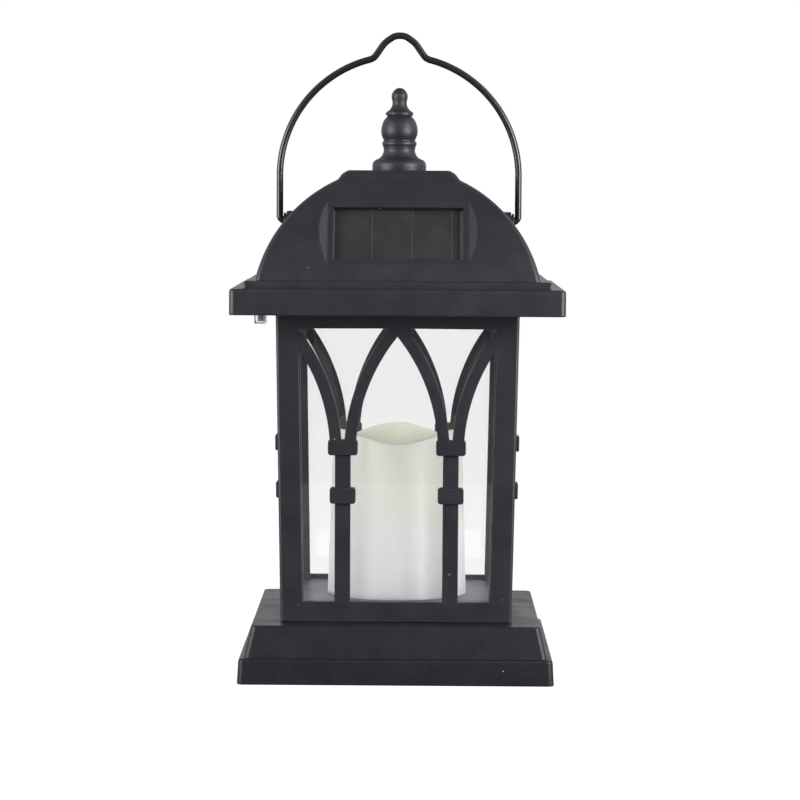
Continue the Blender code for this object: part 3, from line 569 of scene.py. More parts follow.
def make_base():
    path = [
        ((TIER_HALF_HIGH - 6, BASE_TOP, BASE_CORNER), 0),
        ((TIER_HALF_HIGH, BASE_TOP, BASE_CORNER), 0.7),
        ((TIER_HALF_LOW, SKIRT_TOP, BASE_CORNER), 0.25),
        ((SKIRT_HALF_HIGH, SKIRT_TOP, BASE_CORNER), 1.3),
        ((SKIRT_HALF, 0, BASE_CORNER), 0.6),
        ((SKIRT_HALF - BASE_WALL, 0, BASE_INNER_CORNER), 0.2),
        ((SKIRT_HALF_HIGH - BASE_WALL, SKIRT_TOP - BASE_WALL, BASE_INNER_CORNER), 0),
        ((TIER_HALF_LOW - BASE_WALL, SKIRT_TOP - BASE_WALL, BASE_INNER_CORNER), 0),
        ((TIER_HALF_HIGH - BASE_WALL, BASE_TOP - BASE_WALL, BASE_INNER_CORNER), 0),
    ]
    rings = [square_ring(*point) for point in eased(path, 4)]
    level_normals(add_piece("base_moulding", ring_mesh("base_moulding", rings), BLACK_PAINTED_SHADE, "root",
                            "base_shell", slot="black_plastic"))


# -------- body

def rib_points(radius, low, high, steps=16):
    """An arc of a rib's edge between two heights above the spring line."""
    start, end = math.asin(low / radius), math.asin(high / radius)
    angles = [start + (end - start) * index / steps for index in range(steps + 1)]
    return [(radius * math.cos(angle) - RIB_CENTRE, SPRING_HEIGHT + radius * math.sin(angle))
            for angle in angles]


def mirror(points, axis=0.0):
    return [(2 * axis - across, up) for across, up in points]


def window_lights():
    """The outlines of a frame's five lights, as (across, up) from the middle of its foot."""
    inner = RIB_RADIUS - RIB_WIDE / 2
    outer = RIB_RADIUS + RIB_WIDE / 2
    near = MULLION_AT - MULLION_WIDE / 2
    far = MULLION_AT + MULLION_WIDE / 2
    to_column = 2 * MULLION_AT + RIB_CENTRE - LIGHT_HALF_HIGH
    # The arcs begin a little above the spring line, where the ribs have left their mullions
    middle_start, side_start, funnel_start = 3.0, 3.6, 2.0
    arch = rib_points(inner, middle_start, math.sqrt(inner ** 2 - RIB_CENTRE ** 2))
    half = [(near, RAIL_TOP), (near, SPRING_HEIGHT + middle_start / 2), *arch]
    middle = half + mirror(reversed(half[:-1]))
    side_arch = rib_points(inner, side_start, math.sqrt(inner ** 2 - to_column ** 2))
    side = [(LIGHT_HALF_LOW, RAIL_TOP), (far, RAIL_TOP), (far, SPRING_HEIGHT + 2.5),
            *mirror(side_arch, MULLION_AT)]
    rising = rib_points(outer, funnel_start, HEADER_BOTTOM - SPRING_HEIGHT)
    falling = rib_points(outer, funnel_start, math.sqrt(outer ** 2 - to_column ** 2))
    corner = (LIGHT_HALF_HIGH - 0.4, HEADER_BOTTOM - 0.2)
    funnel = [*rising, corner, *mirror(reversed(falling), MULLION_AT)]
    return [middle, side, mirror(side), funnel, mirror(funnel)]


CLOSEST = 0.01
MITRE_LIMIT = 2.5


def grown(outline, by):
    """The outline moved outwards by a distance."""
    points = [Vector(point) for point in outline]
    points = [point for index, point in enumerate(points)
              if (point - points[index - 1]).length > CLOSEST]
    area = sum(a.x * b.y - a.y * b.x for a, b in zip(points, points[1:] + points[:1]))
    turn = 1 if area > 0 else -1
    moved = []
    for index, point in enumerate(points):
        before = (point - points[index - 1]).normalized()
        after = (points[(index + 1) % len(points)] - point).normalized()
        one = Vector((before.y, -before.x)) * turn
        other = Vector((after.y, -after.x)) * turn
        corner = (one + other) / (1 + one.dot(other))
        moved.append(point + corner * by * min(1.0, MITRE_LIMIT / corner.length))
    return moved


def add_loop(shape, points, depth):
    """A closed loop of edges in the frame's own plane, this far behind its face."""
    verts = [shape.verts.new((point[0], point[1], -depth)) for point in points]
    edges = [shape.edges.new((one, other)) for one, other in zip(verts, verts[1:] + verts[:1])]
    return verts, edges


def on_window():
    """From the window's own plane (X across, Y up, Z outwards) to the body's front, in mm."""
    foot = Matrix.Translation((0, -BODY_HALF_LOW, BODY_BOTTOM))
    return foot @ Matrix.Rotation(math.radians(90) + BODY_LEAN, 4, "X")


FRAME_CORNER_STEPS = 5


def frame_side():
    """One side of the body, open at its two mitres."""
    shape = bmesh.new()
    tall = (BODY_TOP - BODY_BOTTOM) / math.cos(BODY_LEAN)
    section = []
    for step in range(FRAME_CORNER_STEPS + 1):
        angle = math.radians(45 * step / FRAME_CORNER_STEPS)
        section.append((FRAME_CORNER * (1 - math.sin(angle)), FRAME_CORNER * (1 - math.cos(angle))))
    section.append((FRAME_THICK, FRAME_THICK))
    columns = []
    for side in (1, -1):
        columns.append([])
        for level in (0, tall):
            half = BODY_HALF_LOW + level * math.sin(BODY_LEAN)
            columns[-1].append([shape.verts.new((side * (half - inset), level, -depth))
                                for inset, depth in section])
    for low, high in columns:
        for index in range(FRAME_CORNER_STEPS):
            shape.faces.new((low[index], low[index + 1], high[index + 1], high[index]))
    (right_low, right_high), (left_low, left_high) = columns
    shape.faces.new(right_low + left_low[::-1])
    shape.faces.new(right_high + left_high[::-1])

    def border(at):
        """The four edges round the side at one point of its columns' section."""
        corners = [column[at] for column in (right_low, right_high, left_high, left_low)]
        pairs = zip(corners, corners[1:] + corners[:1])
        return [shape.edges.get(pair) or shape.edges.new(pair) for pair in pairs]

    front, back = border(0), border(-1)
    for outline in window_lights():
        inset = FRAME_EDGE * ROUND_MIDDLE
        loops = [add_loop(shape, grown(outline, by), depth) for by, depth in (
            (FRAME_EDGE, 0), (inset, inset), (0, FRAME_EDGE), (0, FRAME_THICK))]
        for near, far in zip(loops, loops[1:]):
            skin_loops(shape, near[0], far[0])
        front += loops[0][1]
        back += loops[-1][1]
    for edges in (front, back):
        bmesh.ops.triangle_fill(shape, edges=edges, use_beauty=True, normal=(0, 0, 1))
    bmesh.ops.transform(shape, matrix=on_window(), verts=shape.verts)
    return shape


JOIN_DISTANCE = 0.02


def four_sides(shape):
    """The shape and its copies on the other three sides, joined where they touch, in metres."""
    first = list(shape.verts) + list(shape.edges) + list(shape.faces)
    for quarter in (1, 2, 3):
        copy = bmesh.ops.duplicate(shape, geom=first)["geom"]
        verts = [item for item in copy if isinstance(item, bmesh.types.BMVert)]
        turn = Matrix.Rotation(math.radians(90 * quarter), 3, "Z")
        bmesh.ops.rotate(shape, verts=verts, cent=(0, 0, 0), matrix=turn)
    bmesh.ops.remove_doubles(shape, verts=shape.verts, dist=JOIN_DISTANCE)
    bmesh.ops.scale(shape, vec=(MM, MM, MM), verts=shape.verts)
    return shape


COLLAR_CORNER = 1.3
COLLAR_EASE = 0.5
COLLAR_ROOT = 0.2 - FRAME_THICK


def make_window_frames():
    frame_mesh = to_mesh("window_frames", four_sides(frame_side()))
    collars = bmesh.new()
    for side in (-1, 1):
        for wide, low, high in COLLARS:
            across = side * MULLION_AT
            rings = block_rings((across - wide / 2, low, COLLAR_ROOT),
                                (across + wide / 2, high, COLLAR_PROUD),
                                COLLAR_CORNER, COLLAR_EASE, on_window())
            add_rings(collars, rings, unit=1.0)
    collar_mesh = to_mesh("collars", four_sides(collars))
    frames = carved("window_frames", frame_mesh, ("UNION", collar_mesh))
    nodes = [f"{side}_window_frame" for side in ("front", "right", "back", "left")]
    level_normals(add_piece("window_frames", frames, BLACK, "root", *nodes, slot="black_plastic"))


# -------- roof

POCKET_UP = (POCKET_HIGH - POCKET_LOW).normalized()
POCKET_OUT = Vector((-POCKET_UP.y, POCKET_UP.x))
DOME_MIDDLE = Vector((0, DOME_CENTRE))
POCKET_AT = (POCKET_LOW - DOME_MIDDLE).dot(POCKET_OUT)
POCKET_MIDDLE = ((POCKET_LOW + POCKET_HIGH) / 2 - DOME_MIDDLE).dot(POCKET_UP)
# Columns up to here keep their places on every row; the rest spread out to the hips
FIXED_HALF = 36.4
HIP_MARGIN = 0.9
PAST_POCKET = FIXED_HALF + 9
WALL_BLEND = 0.3
RIM_BLEND = 0.22
# The spacing of the pocket's columns and of the roof's rows: plain, along the pocket, in its window
COLUMN_STEP = 0.24
ROW_STEP = 1.2
POCKET_ROW_STEP = 0.35
WINDOW_ROW_STEP = 0.5
POCKET_REACH = 17.4
INNER_CORNER = 0.8
CAP_FOOT_HALF = 26.94
LID_HALF = 21.5
LID_BOTTOM = CAP_TOP - 2.4
INNER_STEP_HALF = 59.6


def soft_min(one, other, blend):
    overlap = max(blend - abs(one - other), 0) / blend
    return min(one, other) - overlap ** 2 * blend / 4


def dome_height(slope, radius):
    return math.sqrt(radius ** 2 - slope ** 2) - POCKET_AT


def outer_height(across, slope, pocket):
    dome = dome_height(slope, DOME_RADIUS)
    if not pocket:
        return dome
    wall = -soft_min(0, -(abs(across) - POCKET_HALF) / POCKET_FLARE, WALL_BLEND)
    return soft_min(dome, wall, RIM_BLEND)


def inner_height(across, slope, pocket):
    dome = dome_height(slope, DOME_RADIUS - DOME_WALL)
    if not pocket:
        return dome
    wall = max(0, (abs(across) - BACKING_HALF) / POCKET_FLARE) - POCKET_WALL
    return min(dome, wall)


def spaced(start, end, step):
    count = max(1, round((end - start) / step))
    return [start + (end - start) * index / count for index in range(count)]


def roof_row(columns, half, corner, place_at):
    """One side's row, from hip to hip: the columns, then the corner's arc up to the diagonal."""
    flat = half - corner
    scale = min(1.0, flat / (FIXED_HALF + HIP_MARGIN))
    row = [place_at(across * scale) for across in columns]
    edge = FIXED_HALF * scale
    for share in (1 / 3, 2 / 3):
        row.append(place_at(edge + (flat - edge) * share))
    height = place_at(flat)[2]
    for step in range(6):
        angle = math.radians(45 * step / 5)
        row.append((flat + corner * math.sin(angle), -flat - corner * math.cos(angle), height))
    left = [(-x, y, z) for x, y, z in reversed(row[len(columns):])]
    return left + row


def roof_side(pocket):
    """One side of the hollow roof from hip to hip, in millimetres; the front has the pocket."""
    window_low = POCKET_MIDDLE + WINDOW_SHIFT - WINDOW_TALL / 2
    window_high = POCKET_MIDDLE + WINDOW_SHIFT + WINDOW_TALL / 2
    start = math.asin((STEP_TOP - DOME_CENTRE) / DOME_RADIUS) - math.asin(POCKET_UP.x)
    end = math.asin((CAP_BOTTOM - DOME_CENTRE) / DOME_RADIUS) - math.asin(POCKET_UP.x)
    foot, top = DOME_RADIUS * math.sin(start), DOME_RADIUS * math.sin(end)
    slopes = [*spaced(foot, -POCKET_REACH, ROW_STEP),
              *spaced(-POCKET_REACH, window_low, POCKET_ROW_STEP),
              *spaced(window_low, window_high, WINDOW_ROW_STEP),
              *spaced(window_high, POCKET_REACH, POCKET_ROW_STEP),
              *spaced(POCKET_REACH, top, ROW_STEP), top]
    if pocket:
        half_columns = spaced(WINDOW_HALF, FIXED_HALF, COLUMN_STEP) + [FIXED_HALF]
        columns = [-across for across in reversed(half_columns)] + [-14.0, 0.0, 14.0] + half_columns
    else:
        columns = [FIXED_HALF * share for share in (-1, -0.66, -0.33, 0, 0.33, 0.66, 1)]

    def surface(slope, height):
        def place_at(across):
            out = POCKET_AT + height(across, slope, pocket)
            at = DOME_MIDDLE + POCKET_OUT * out + POCKET_UP * slope
            return (across, at.x, at.y)
        return place_at

    def level_rows(path, corner_at):
        return [roof_row(columns, half, corner_at(half), lambda across: (across, -half, height))
                for half, height in path]

    def dome_row(slope, height, corner):
        far = surface(slope, height)(PAST_POCKET)
        return roof_row(columns, -far[1], corner, surface(slope, height))

    cap = [((CAP_HALF - 4, CAP_TOP), 0), ((CAP_HALF, CAP_TOP), 0.4),
           ((CAP_HALF + 2.5, CAP_TOP - 1.5), 0.9), ((CAP_HALF + 4.0, CAP_TOP - 3.6), 0.3),
           ((CAP_FOOT_HALF, CAP_BOTTOM), 0)]
    cap_rows = level_rows(eased(cap, 4)[:-1], lambda half: ROOF_CORNER)
    wall = EAVE_HALF - 2.0
    inner_step = STEP_HALF - DOME_WALL
    foot_half = -surface(foot, outer_height)(PAST_POCKET)[1]
    eave = [((foot_half, STEP_TOP), 0), ((STEP_HALF, STEP_TOP), 1.2),
            ((STEP_HALF, EAVE_TOP), 0.3), ((EAVE_HALF, EAVE_TOP), 1.4),
            ((EAVE_HALF, EAVE_BOTTOM), 0.5), ((wall, EAVE_BOTTOM), 0.3),
            ((wall, EAVE_TOP - DOME_WALL), 0), ((inner_step, EAVE_TOP - DOME_WALL), 0),
            ((inner_step, STEP_TOP - DOME_WALL), 0), ((INNER_STEP_HALF, STEP_TOP - DOME_WALL), 0)]
    eave_rows = level_rows(eased(eave, 4)[1:],
                           lambda half: ROOF_CORNER if half > wall else INNER_CORNER)
    outer_rows = [dome_row(slope, outer_height, ROOF_CORNER) for slope in reversed(slopes)]
    inner_rows = [dome_row(slope, inner_height, INNER_CORNER) for slope in slopes]
    lid_rows = level_rows([(LID_HALF, LID_BOTTOM)], lambda half: INNER_CORNER)

    shape = bmesh.new()
    rows = [[shape.verts.new(point) for point in row]
            for row in cap_rows + outer_rows + eave_rows + inner_rows + lid_rows]
    outer_end = len(cap_rows) + len(slopes)
    high_row = outer_end - 1 - slopes.index(window_high)
    low_row = outer_end - 1 - slopes.index(window_low)
    inner_start = outer_end + len(eave_rows)
    inner_low = inner_start + slopes.index(window_low)
    inner_high = inner_start + slopes.index(window_high)
    if pocket:
        extra = (len(rows[0]) - len(columns)) // 2
        left = extra + columns.index(-WINDOW_HALF)
        right = extra + columns.index(WINDOW_HALF)
    for index, (one, other) in enumerate(zip(rows, rows[1:])):
        open_row = high_row <= index < low_row or inner_low <= index < inner_high
        for at in range(len(one) - 1):
            if not (pocket and open_row and left <= at < right):
                shape.faces.new((one[at], one[at + 1], other[at + 1], other[at]))
    if pocket:
        # The window's rim, from the outer skin through to the inner one
        for at in range(left, right):
            for outer, inner in ((high_row, inner_high), (low_row, inner_low)):
                shape.faces.new((*rows[outer][at:at + 2], *rows[inner][at:at + 2][::-1]))
        for step in range(low_row - high_row):
            outer, inner = high_row + step, inner_high - step
            for at in (left, right):
                shape.faces.new((rows[outer][at], rows[outer + 1][at],
                                 rows[inner - 1][at], rows[inner][at]))
    return shape


SLEEVE_FIT = 0.2
FLANGE_FIT = 0.4
BORE_ROOT = 40.0
BORE_MOUTH = 60.0


def at_pivot(side):
    """From a turned part's Z to the bail's axis, pointing out on that side (-1 or 1), in metres."""
    return (Matrix.Translation((0, 0, PIVOT_HEIGHT * MM))
            @ Matrix.Rotation(math.radians(90 * side), 4, "Y"))


def make_roof():
    roof = bmesh.new()
    for quarter in range(4):
        side = roof_side(pocket=quarter == 0)
        turn = Matrix.Rotation(math.radians(90 * quarter), 4, "Z")
        bmesh.ops.transform(side, matrix=turn, verts=side.verts)
        part = bpy.data.meshes.new("roof_side")
        side.to_mesh(part)
        side.free()
        roof.from_mesh(part)
    bmesh.ops.remove_doubles(roof, verts=roof.verts, dist=JOIN_DISTANCE)
    open_edges = [edge for edge in roof.edges if edge.is_boundary]
    bmesh.ops.holes_fill(roof, edges=open_edges, sides=0)
    bmesh.ops.scale(roof, vec=(MM, MM, MM), verts=roof.verts)
    shell = to_mesh("roof_moulding", roof, SHARP_ROOF)

    sleeve, flange = BUSH_SLEEVE + SLEEVE_FIT, BUSH_FLANGE + FLANGE_FIT
    boss = [((BOSS_RADIUS, BOSS_ROOT), 0), ((BOSS_RADIUS, BOSS_END), 0.5), ((sleeve, BOSS_END), 0)]
    bore = [((flange, BORE_MOUTH), 0), ((flange, BOSS_END), 0), ((sleeve, BOSS_END), 0),
            ((sleeve, BORE_ROOT), 0)]
    bosses, bores = bmesh.new(), bmesh.new()
    for side in (-1, 1):
        for shape, path in ((bosses, boss), (bores, bore)):
            rows = add_rings(shape, turned(eased(path), BUSH_SIDES))
            made = [vert for row in rows for vert in row]
            bmesh.ops.transform(shape, matrix=at_pivot(side), verts=made)
    roof_mesh = carved("roof_moulding", shell, ("UNION", to_mesh("bosses", bosses)),
                       ("DIFFERENCE", to_mesh("bores", bores)), sharp=SHARP_ROOF)
    level_normals(add_piece("roof_moulding", roof_mesh, BLACK, "root", "roof_shell",
                            slot="black_plastic"))


def on_pocket():
    """From the solar pocket's own plane (X across, Y up the slope, Z outwards), in millimetres."""
    middle = (POCKET_LOW + POCKET_HIGH) / 2
    return Matrix(((1, 0, 0, 0), (0, POCKET_UP.x, POCKET_OUT.x, middle.x),
                   (0, POCKET_UP.y, POCKET_OUT.y, middle.y), (0, 0, 0, 1)))


WAFER_PROUD = 0.12
WAFER_SUNK = 0.05
WAFER_MARGIN = 0.5


def make_solar_panel():
    across, slope = PANEL_HALF
    low, high = WINDOW_SHIFT - slope, WINDOW_SHIFT + slope
    top = -PANEL_DEPTH - WAFER_PROUD
    backing = block_rings((-across, low, -PANEL_DEPTH - PANEL_THICK), (across, high, top), 0.4, 0.1,
                          on_pocket())
    board = ring_mesh("solar_panel_board", backing, sharp=SHARP_FLAT)
    add_piece("solar_panel_board", board, BACKING, "root", "solar_panel", slot="solar_cells")
    cells = bmesh.new()
    for left, right in CELL_EDGES:
        add_rings(cells, block_rings((left, low + WAFER_MARGIN, top - WAFER_SUNK),
                                     (right, high - WAFER_MARGIN, -PANEL_DEPTH), 0.25, 0.03,
                                     on_pocket()))
    add_piece("solar_wafers", to_mesh("solar_wafers", cells, SHARP_FLAT), WAFER, "root",
              slot="solar_cells")


FINIAL_CLOSEST = 0.05


def make_finial():
    outline = []
    for run in FINIAL:
        line = smooth_line(run)
        if run[0][0] == 0:
            # The top run starts out level, as if it came over from the other side
            line = smooth_line([(-run[1][0], run[1][1]), *run])[6:]
        outline += [point for point in line
                    if not outline or (point - outline[-1]).length > FINIAL_CLOSEST]
    rings = turned([(max(radius, FINIAL_CLOSEST), CAP_TOP + height) for radius, height in outline],
                   FINIAL_SIDES)
    add_piece("turned_finial", ring_mesh("turned_finial", rings, sharp=SHARP_FINIAL), BLACK_FINE,
              "root", "finial", slot="black_plastic")


# -------- handle

def handle_line():
    """The wire's centre line as (across, up), from its end in one bush over to the other."""
    bend_middle = (LEG_AT - LEG_BEND, PIVOT_HEIGHT + LEG_BEND)
    half = [(WIRE_END, PIVOT_HEIGHT), (WIRE_STRAIGHT, PIVOT_HEIGHT)]
    for step in range(9):
        angle = math.radians(-90 + 90 * step / 8)
        half.append((bend_middle[0] + LEG_BEND * math.cos(angle),
                     bend_middle[1] + LEG_BEND * math.sin(angle)))
    kink = math.acos(KINK_AT / LEG_AT)
    for step in range(41):
        angle = kink * step / 40
        half.append((LEG_AT * math.cos(angle), LEG_TOP + LEG_AT * math.sin(angle)))
    half += HUMP
    return smooth_line(half + mirror(reversed(half[:-1])), 4)


def make_handle():
    line = handle_line()
    rings = []
    for index, point in enumerate(line):
        before, after = line[max(index - 1, 0)], line[min(index + 1, len(line) - 1)]
        along = (after - before).normalized()
        out = Vector((along.y, -along.x))
        ring = []
        for side in range(WIRE_SIDES):
            angle = 2 * math.pi * side / WIRE_SIDES
            flat = out * WIRE_RADIUS * math.cos(angle)
            ring.append((point.x + flat.x, WIRE_RADIUS * math.sin(angle), point.y + flat.y))
        rings.append(ring)
    wire = ring_mesh("wire_bail", rings, sharp=SHARP_WIRE)
    add_piece("wire_bail", wire, WIRE, "handle", "handle", slot="black_wire")

    flange = BOSS_END + 0.3
    section = closed_section([
        ((BUSH_BORE, BUSH_INNER_END), 0.2), ((BUSH_SLEEVE, BUSH_INNER_END), 0.4),
        ((BUSH_SLEEVE, flange), 0.1), ((BUSH_FLANGE, flange), 0.2), ((BUSH_FLANGE, BUSH_END), 0.4),
        ((BUSH_MOUTH, BUSH_END), 0.2), ((BUSH_BORE, BOSS_END), 0.3)])
    for name, side in (("left", -1), ("right", 1)):
        mesh = ring_mesh(f"{name}_bush", turned(section, BUSH_SIDES), closed=True)
        mesh.transform(at_pivot(side))
        add_piece(f"{name}_pivot_bush", mesh, BLACK_FINE, "root", f"{name}_handle_bush",
                  slot="dark_plastic")


def closed_section(path):
    """The eased points of a path that closes on itself."""
    points = []
    for index, place in enumerate(path):
        before, after = path[index - 1], path[(index + 1) % len(path)]
        points += eased([(before[0], 0), place, (after[0], 0)])[1:-1]
    return points


# -------- candle and switch

def candle_wall(inset, shares):
    """Points up the sleeve's wall, as (radius, height, share of the rim's wave)."""
    return [(CANDLE_RADIUS_LOW + (CANDLE_RADIUS_HIGH - CANDLE_RADIUS_LOW) * share - inset,
             CANDLE_LOW + (CANDLE_RIM - CANDLE_LOW) * share, share) for share in shares]


def make_candle():
    outline = candle_wall(0, (0.0, 0.02, 0.25, 0.5, 0.75, 0.97))
    lip = CANDLE_WALL / 2
    for step in range(7):
        angle = math.radians(180 * step / 6)
        outline.append((CANDLE_RADIUS_HIGH - lip + lip * math.cos(angle),
                        CANDLE_RIM - lip + lip * math.sin(angle), 1.0))
    outline += candle_wall(CANDLE_WALL, (0.97, 0.75, 0.5, 0.25, 0.0))
    rings = []
    for radius, height, share in outline:
        ring = []
        for index in range(CANDLE_SIDES):
            around = 2 * math.pi * index / CANDLE_SIDES
            drop = RIM_WAVE * share * math.cos(RIM_WAVES * around)
            ring.append((radius * math.sin(around), -radius * math.cos(around), height - drop))
        rings.append(ring)
    add_piece("candle_sleeve", ring_mesh("candle_sleeve", rings, closed=True), CANDLE, "root",
              "candle_shell", slot="candle_plastic")


def make_switch():
    brim, bore, skin = SWITCH_HALF + 1.2, SWITCH_HALF - 0.8, 0.9
    brim_top = SWITCH_FLANGE + skin
    path = [
        ((0.5, SWITCH_LOW, 0.25), 0),
        ((SWITCH_HALF, SWITCH_LOW, 1.3), 0.7),
        ((SWITCH_HALF, SWITCH_FLANGE, 1.3), 0),
        ((brim, SWITCH_FLANGE, 1.6), 0.1),
        ((brim, brim_top, 1.6), 0.1),
        ((bore, brim_top, 0.8), 0.1),
        ((bore, SWITCH_LOW + skin, 0.8), 0.3),
        ((0.5, SWITCH_LOW + skin, 0.25), 0),
    ]
    rings = [square_ring(*point, SWITCH_AT) for point in eased(path, 4)]
    add_piece("switch_button_boot", ring_mesh("switch_button_boot", rings), SILICONE,
              "switch_button", "switch_boot", slot="clear_boot")


def screw_mesh(name, length):
    """A pan-head screw with a cross recess, its face at the origin and its shank along -Z."""
    path = [((0.0, 0.0), 0), ((1.4, -0.02), 0), ((HEAD_RADIUS, -0.35), 0.35),
            ((HEAD_RADIUS, -HEAD_TALL), 0.1), ((SHANK_RADIUS, -HEAD_TALL), 0.1),
            ((SHANK_RADIUS, 0.8 - length), 0.1), ((0.3, -length), 0)]
    rings = turned([(max(radius, 0.15), height) for radius, height in eased(path)], 32)
    cuts = []
    for turn in (0, 90):
        shape = bmesh.new()
        made = bmesh.ops.create_cube(shape, size=1.0)["verts"]
        bmesh.ops.scale(shape, vec=[size * MM for size in CROSS_SLOT], verts=made)
        bmesh.ops.rotate(shape, verts=made, cent=(0, 0, 0),
                         matrix=Matrix.Rotation(math.radians(turn), 3, "Z"))
        slot = bpy.data.meshes.new("slot")
        shape.to_mesh(slot)
        shape.free()
        cuts.append(("DIFFERENCE", slot))
    return carved(name, ring_mesh(name, rings), *cuts)


def make_screws():
    """The screws whose heads show on the underside."""
    for group, length in (("cover_screw", 14.0), ("tray_screw", 12.0)):
        mesh = screw_mesh(group, length)
        for number in (1, 2, 3, 4):
            put_screw(f"{group}_{number}", mesh.copy(), 20 * number)
    put_screw("battery_door_screw", screw_mesh("battery_door_screw", 7.0), 35)


def put_screw(node, mesh, turn):
    low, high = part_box(node)
    centre = (low + high) / 2
    mesh.transform(Matrix.Translation((centre.x, centre.y, low.z))
                   @ Matrix.Rotation(math.pi, 4, "X")
                   @ Matrix.Rotation(math.radians(turn), 4, "Z"))
    add_piece(f"{node}_head", mesh, STEEL, "root", node, slot="steel")


# -------- CAD nodes that stay

# Which material each node takes, by its name or by a start that ends in an underscore
KEPT = {
    BLACK: ("base_cover", "corner_post_", "roof_tray", "battery_door"),
    DARK: ("floor_plate", "candle_base", "battery_holder", "controller_chip", "switch_body"),
    CLEAR: ("front_window_pane", "right_window_pane", "back_window_pane", "left_window_pane"),
    STEEL: ("cover_screw_", "tray_screw_", "post_screw_", "board_screw_", "finial_screw",
            "battery_door_screw", "battery_contact_"),
    COPPER: ("boost_inductor",),
    GREEN: ("circuit_board",),
    BLUE: ("switch_plunger",),
    SLEEVE: ("battery_cell",),
    RED_LEAD: ("led_lead", "battery_lead"),
    BLACK_LEAD: ("solar_lead",),
    SEAL: ("solar_seal",),
    LENS: ("led",),
}
EASED = ("base_cover", "corner_post_", "floor_plate", "roof_tray", "battery_door")


def dress_kept_nodes():
    for name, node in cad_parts.items():
        for material, names in KEPT.items():
            groups = tuple(start for start in names if start.endswith("_"))
            if name in names or name.startswith(groups):
                for place in node.material_slots:
                    place.link = "OBJECT"
                    place.material = material
        if name != "battery_door_screw" and name.startswith(EASED):
            edge = node.modifiers.new("eased_edges", "BEVEL")
            edge.width = 0.35 * MM
            edge.segments = 2
            edge.limit_method = "ANGLE"
            edge.angle_limit = math.radians(40)


# -------- stage

def seen_directly(tree):
    """1 for what the lens sees, through glass too, and 0 for light that the object reflects."""
    rays = tree.nodes.new("ShaderNodeLightPath").outputs
    either = maths(tree, "MAXIMUM", rays["Is Camera Ray"], rays["Is Transmission Ray"])
    not_glossy = map_range(tree, rays["Glossy Depth"], 0.0, 1.0, 1.0, 0.0)
    return maths(tree, "MULTIPLY", either, not_glossy)


def make_floor():
    mesh = bpy.data.meshes.new("studio_floor")
    mesh.from_pydata([(-3, -0.69, 0), (3, -0.69, 0), (3, 4.2, 0), (-3, 4.2, 0)], [], [(0, 1, 2, 3)])
    floor = bpy.data.objects.new("studio_floor", mesh)
    scene.collection.objects.link(floor)
    paper = Surface("white_paper", Base_Color=(0.15, 0.15, 0.15, 1), Roughness=0.9,
                    Specular_IOR_Level=0.0, Emission_Strength=0.95, Emission_Color=(1, 1, 1, 1))
    # The paper is clear from below, so that the underside can be seen
    clear = paper.node("ShaderNodeBsdfTransparent")
    facing = paper.node("ShaderNodeNewGeometry")
    show_mix(paper.tree, "Material Output", facing.outputs["Backfacing"], paper.shader.outputs[0],
             clear.outputs[0])
    mesh.materials.append(paper.material)
    # Only the lens sees the paper: its bounce comes from the lower half of the world instead
    floor.visible_diffuse = floor.visible_glossy = floor.visible_shadow = False


ROOM_LIGHT = 0.38
FRONT_SHARE = 0.68
OVERHEAD_SHARE = 1.2
BACKDROP_LIGHT = 1.2
FLOOR_BOUNCE = 0.2


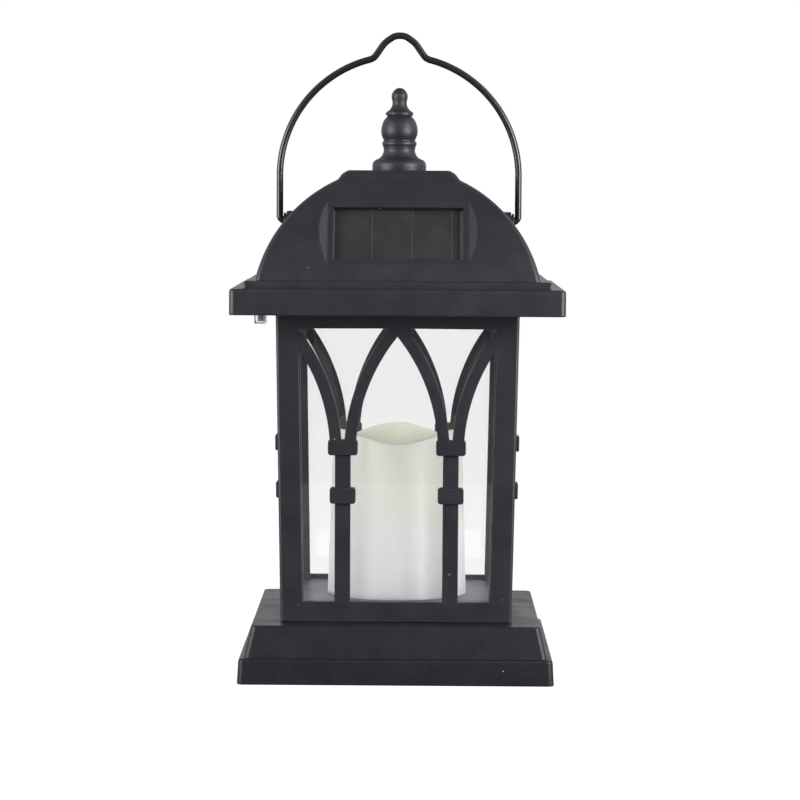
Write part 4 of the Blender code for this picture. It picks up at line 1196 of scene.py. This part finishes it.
def make_world():
    """White behind the object, a brighter back than front for what the plastic reflects."""
    world = bpy.data.worlds.new("studio")
    scene.world = world
    world.use_nodes = True
    tree = world.node_tree
    coordinates = tree.nodes.new("ShaderNodeTexCoord")
    split = tree.nodes.new("ShaderNodeSeparateXYZ")
    tree.links.new(coordinates.outputs["Generated"], split.inputs[0])
    height = split.outputs["Z"]
    behind = map_range(tree, split.outputs["Y"], -0.15, 0.55, 0.0, BACKDROP_LIGHT - ROOM_LIGHT)
    low = map_range(tree, height, 0.65, 0.25, 0.0, 1.0)
    # The room dims just over the horizon and is a little brighter again overhead
    room = map_range(tree, height, 0.02, 0.2, ROOM_LIGHT, FRONT_SHARE * ROOM_LIGHT)
    room = maths(tree, "MULTIPLY", room, map_range(tree, height, 0.5, 0.95, 1.0, OVERHEAD_SHARE))
    glow = maths(tree, "MULTIPLY_ADD", behind, low, room)
    floor_share = map_range(tree, height, -0.14, -0.01, FLOOR_BOUNCE, 1.0)
    around = tree.nodes.new("ShaderNodeBackground")
    feed(tree, around.inputs["Color"], (0.97, 0.97, 1, 1))
    feed(tree, around.inputs["Strength"], maths(tree, "MULTIPLY", glow, floor_share))
    seen = tree.nodes["Background"]
    feed(tree, seen.inputs["Color"], (1, 1, 1, 1))
    feed(tree, seen.inputs["Strength"], 1.0)
    show_mix(tree, "World Output", seen_directly(tree), around.outputs[0], seen.outputs[0])


def add_softbox(name, location, target, size, watts):
    lamp = bpy.data.lights.new(name, "AREA")
    lamp.shape = "RECTANGLE"
    lamp.size, lamp.size_y = size
    lamp.energy = watts
    item = bpy.data.objects.new(name, lamp)
    item.location = location
    aim = Vector(target) - Vector(location)
    item.rotation_euler = aim.to_track_quat("-Z", "Y").to_euler()
    item.visible_camera = False
    item.visible_transmission = False
    scene.collection.objects.link(item)


def make_lights():
    add_softbox("left_softbox", (-0.8, -0.5, 0.3), (0, 0, 0.12), (0.5, 0.55), 10.7)
    add_softbox("right_softbox", (0.56, -0.43, 0.29), (0, 0, 0.12), (0.36, 0.46), 7.6)
    add_softbox("left_strip", (-1.0, 0.05, 1.1), (0, 0, 0.15), (0.9, 0.9), 2.0)
    add_softbox("right_strip", (1.0, 0.05, 1.1), (0, 0, 0.15), (0.9, 0.9), 3.0)
    add_softbox("low_softbox", (0, 0, -1.2), (0, 0, 0), (0.8, 0.8), 3.0)
    add_softbox("front_softbox", (0, -1.5, 1.35), (0, 0, 0.19), (1.4, 0.6), 0.6)


CAMERA_AT = (0.0080, -1.42, 0.2162)
CAMERA_LENS = 143.4
CAMERA_DOWN = 3.957
CAMERA_ROLL = 0.347
CAMERA_PAN = 0.284


def make_camera():
    lens = bpy.data.cameras.new("camera")
    lens.sensor_width = 36.0
    lens.lens = CAMERA_LENS
    camera = bpy.data.objects.new("camera", lens)
    camera.location = CAMERA_AT
    tilt = (Matrix.Rotation(math.radians(90 - CAMERA_DOWN), 3, "X")
            @ Matrix.Rotation(math.radians(CAMERA_ROLL), 3, "Z"))
    camera.rotation_euler = (Matrix.Rotation(math.radians(CAMERA_PAN), 3, "Z") @ tilt).to_euler()
    scene.collection.objects.link(camera)
    scene.camera = camera


make_camera()
make_base()
make_window_frames()
make_roof()
make_solar_panel()
make_finial()
make_handle()
make_candle()
make_switch()
make_screws()
dress_kept_nodes()
make_floor()
make_world()
make_lights()
scene.view_settings.view_transform = "Standard"
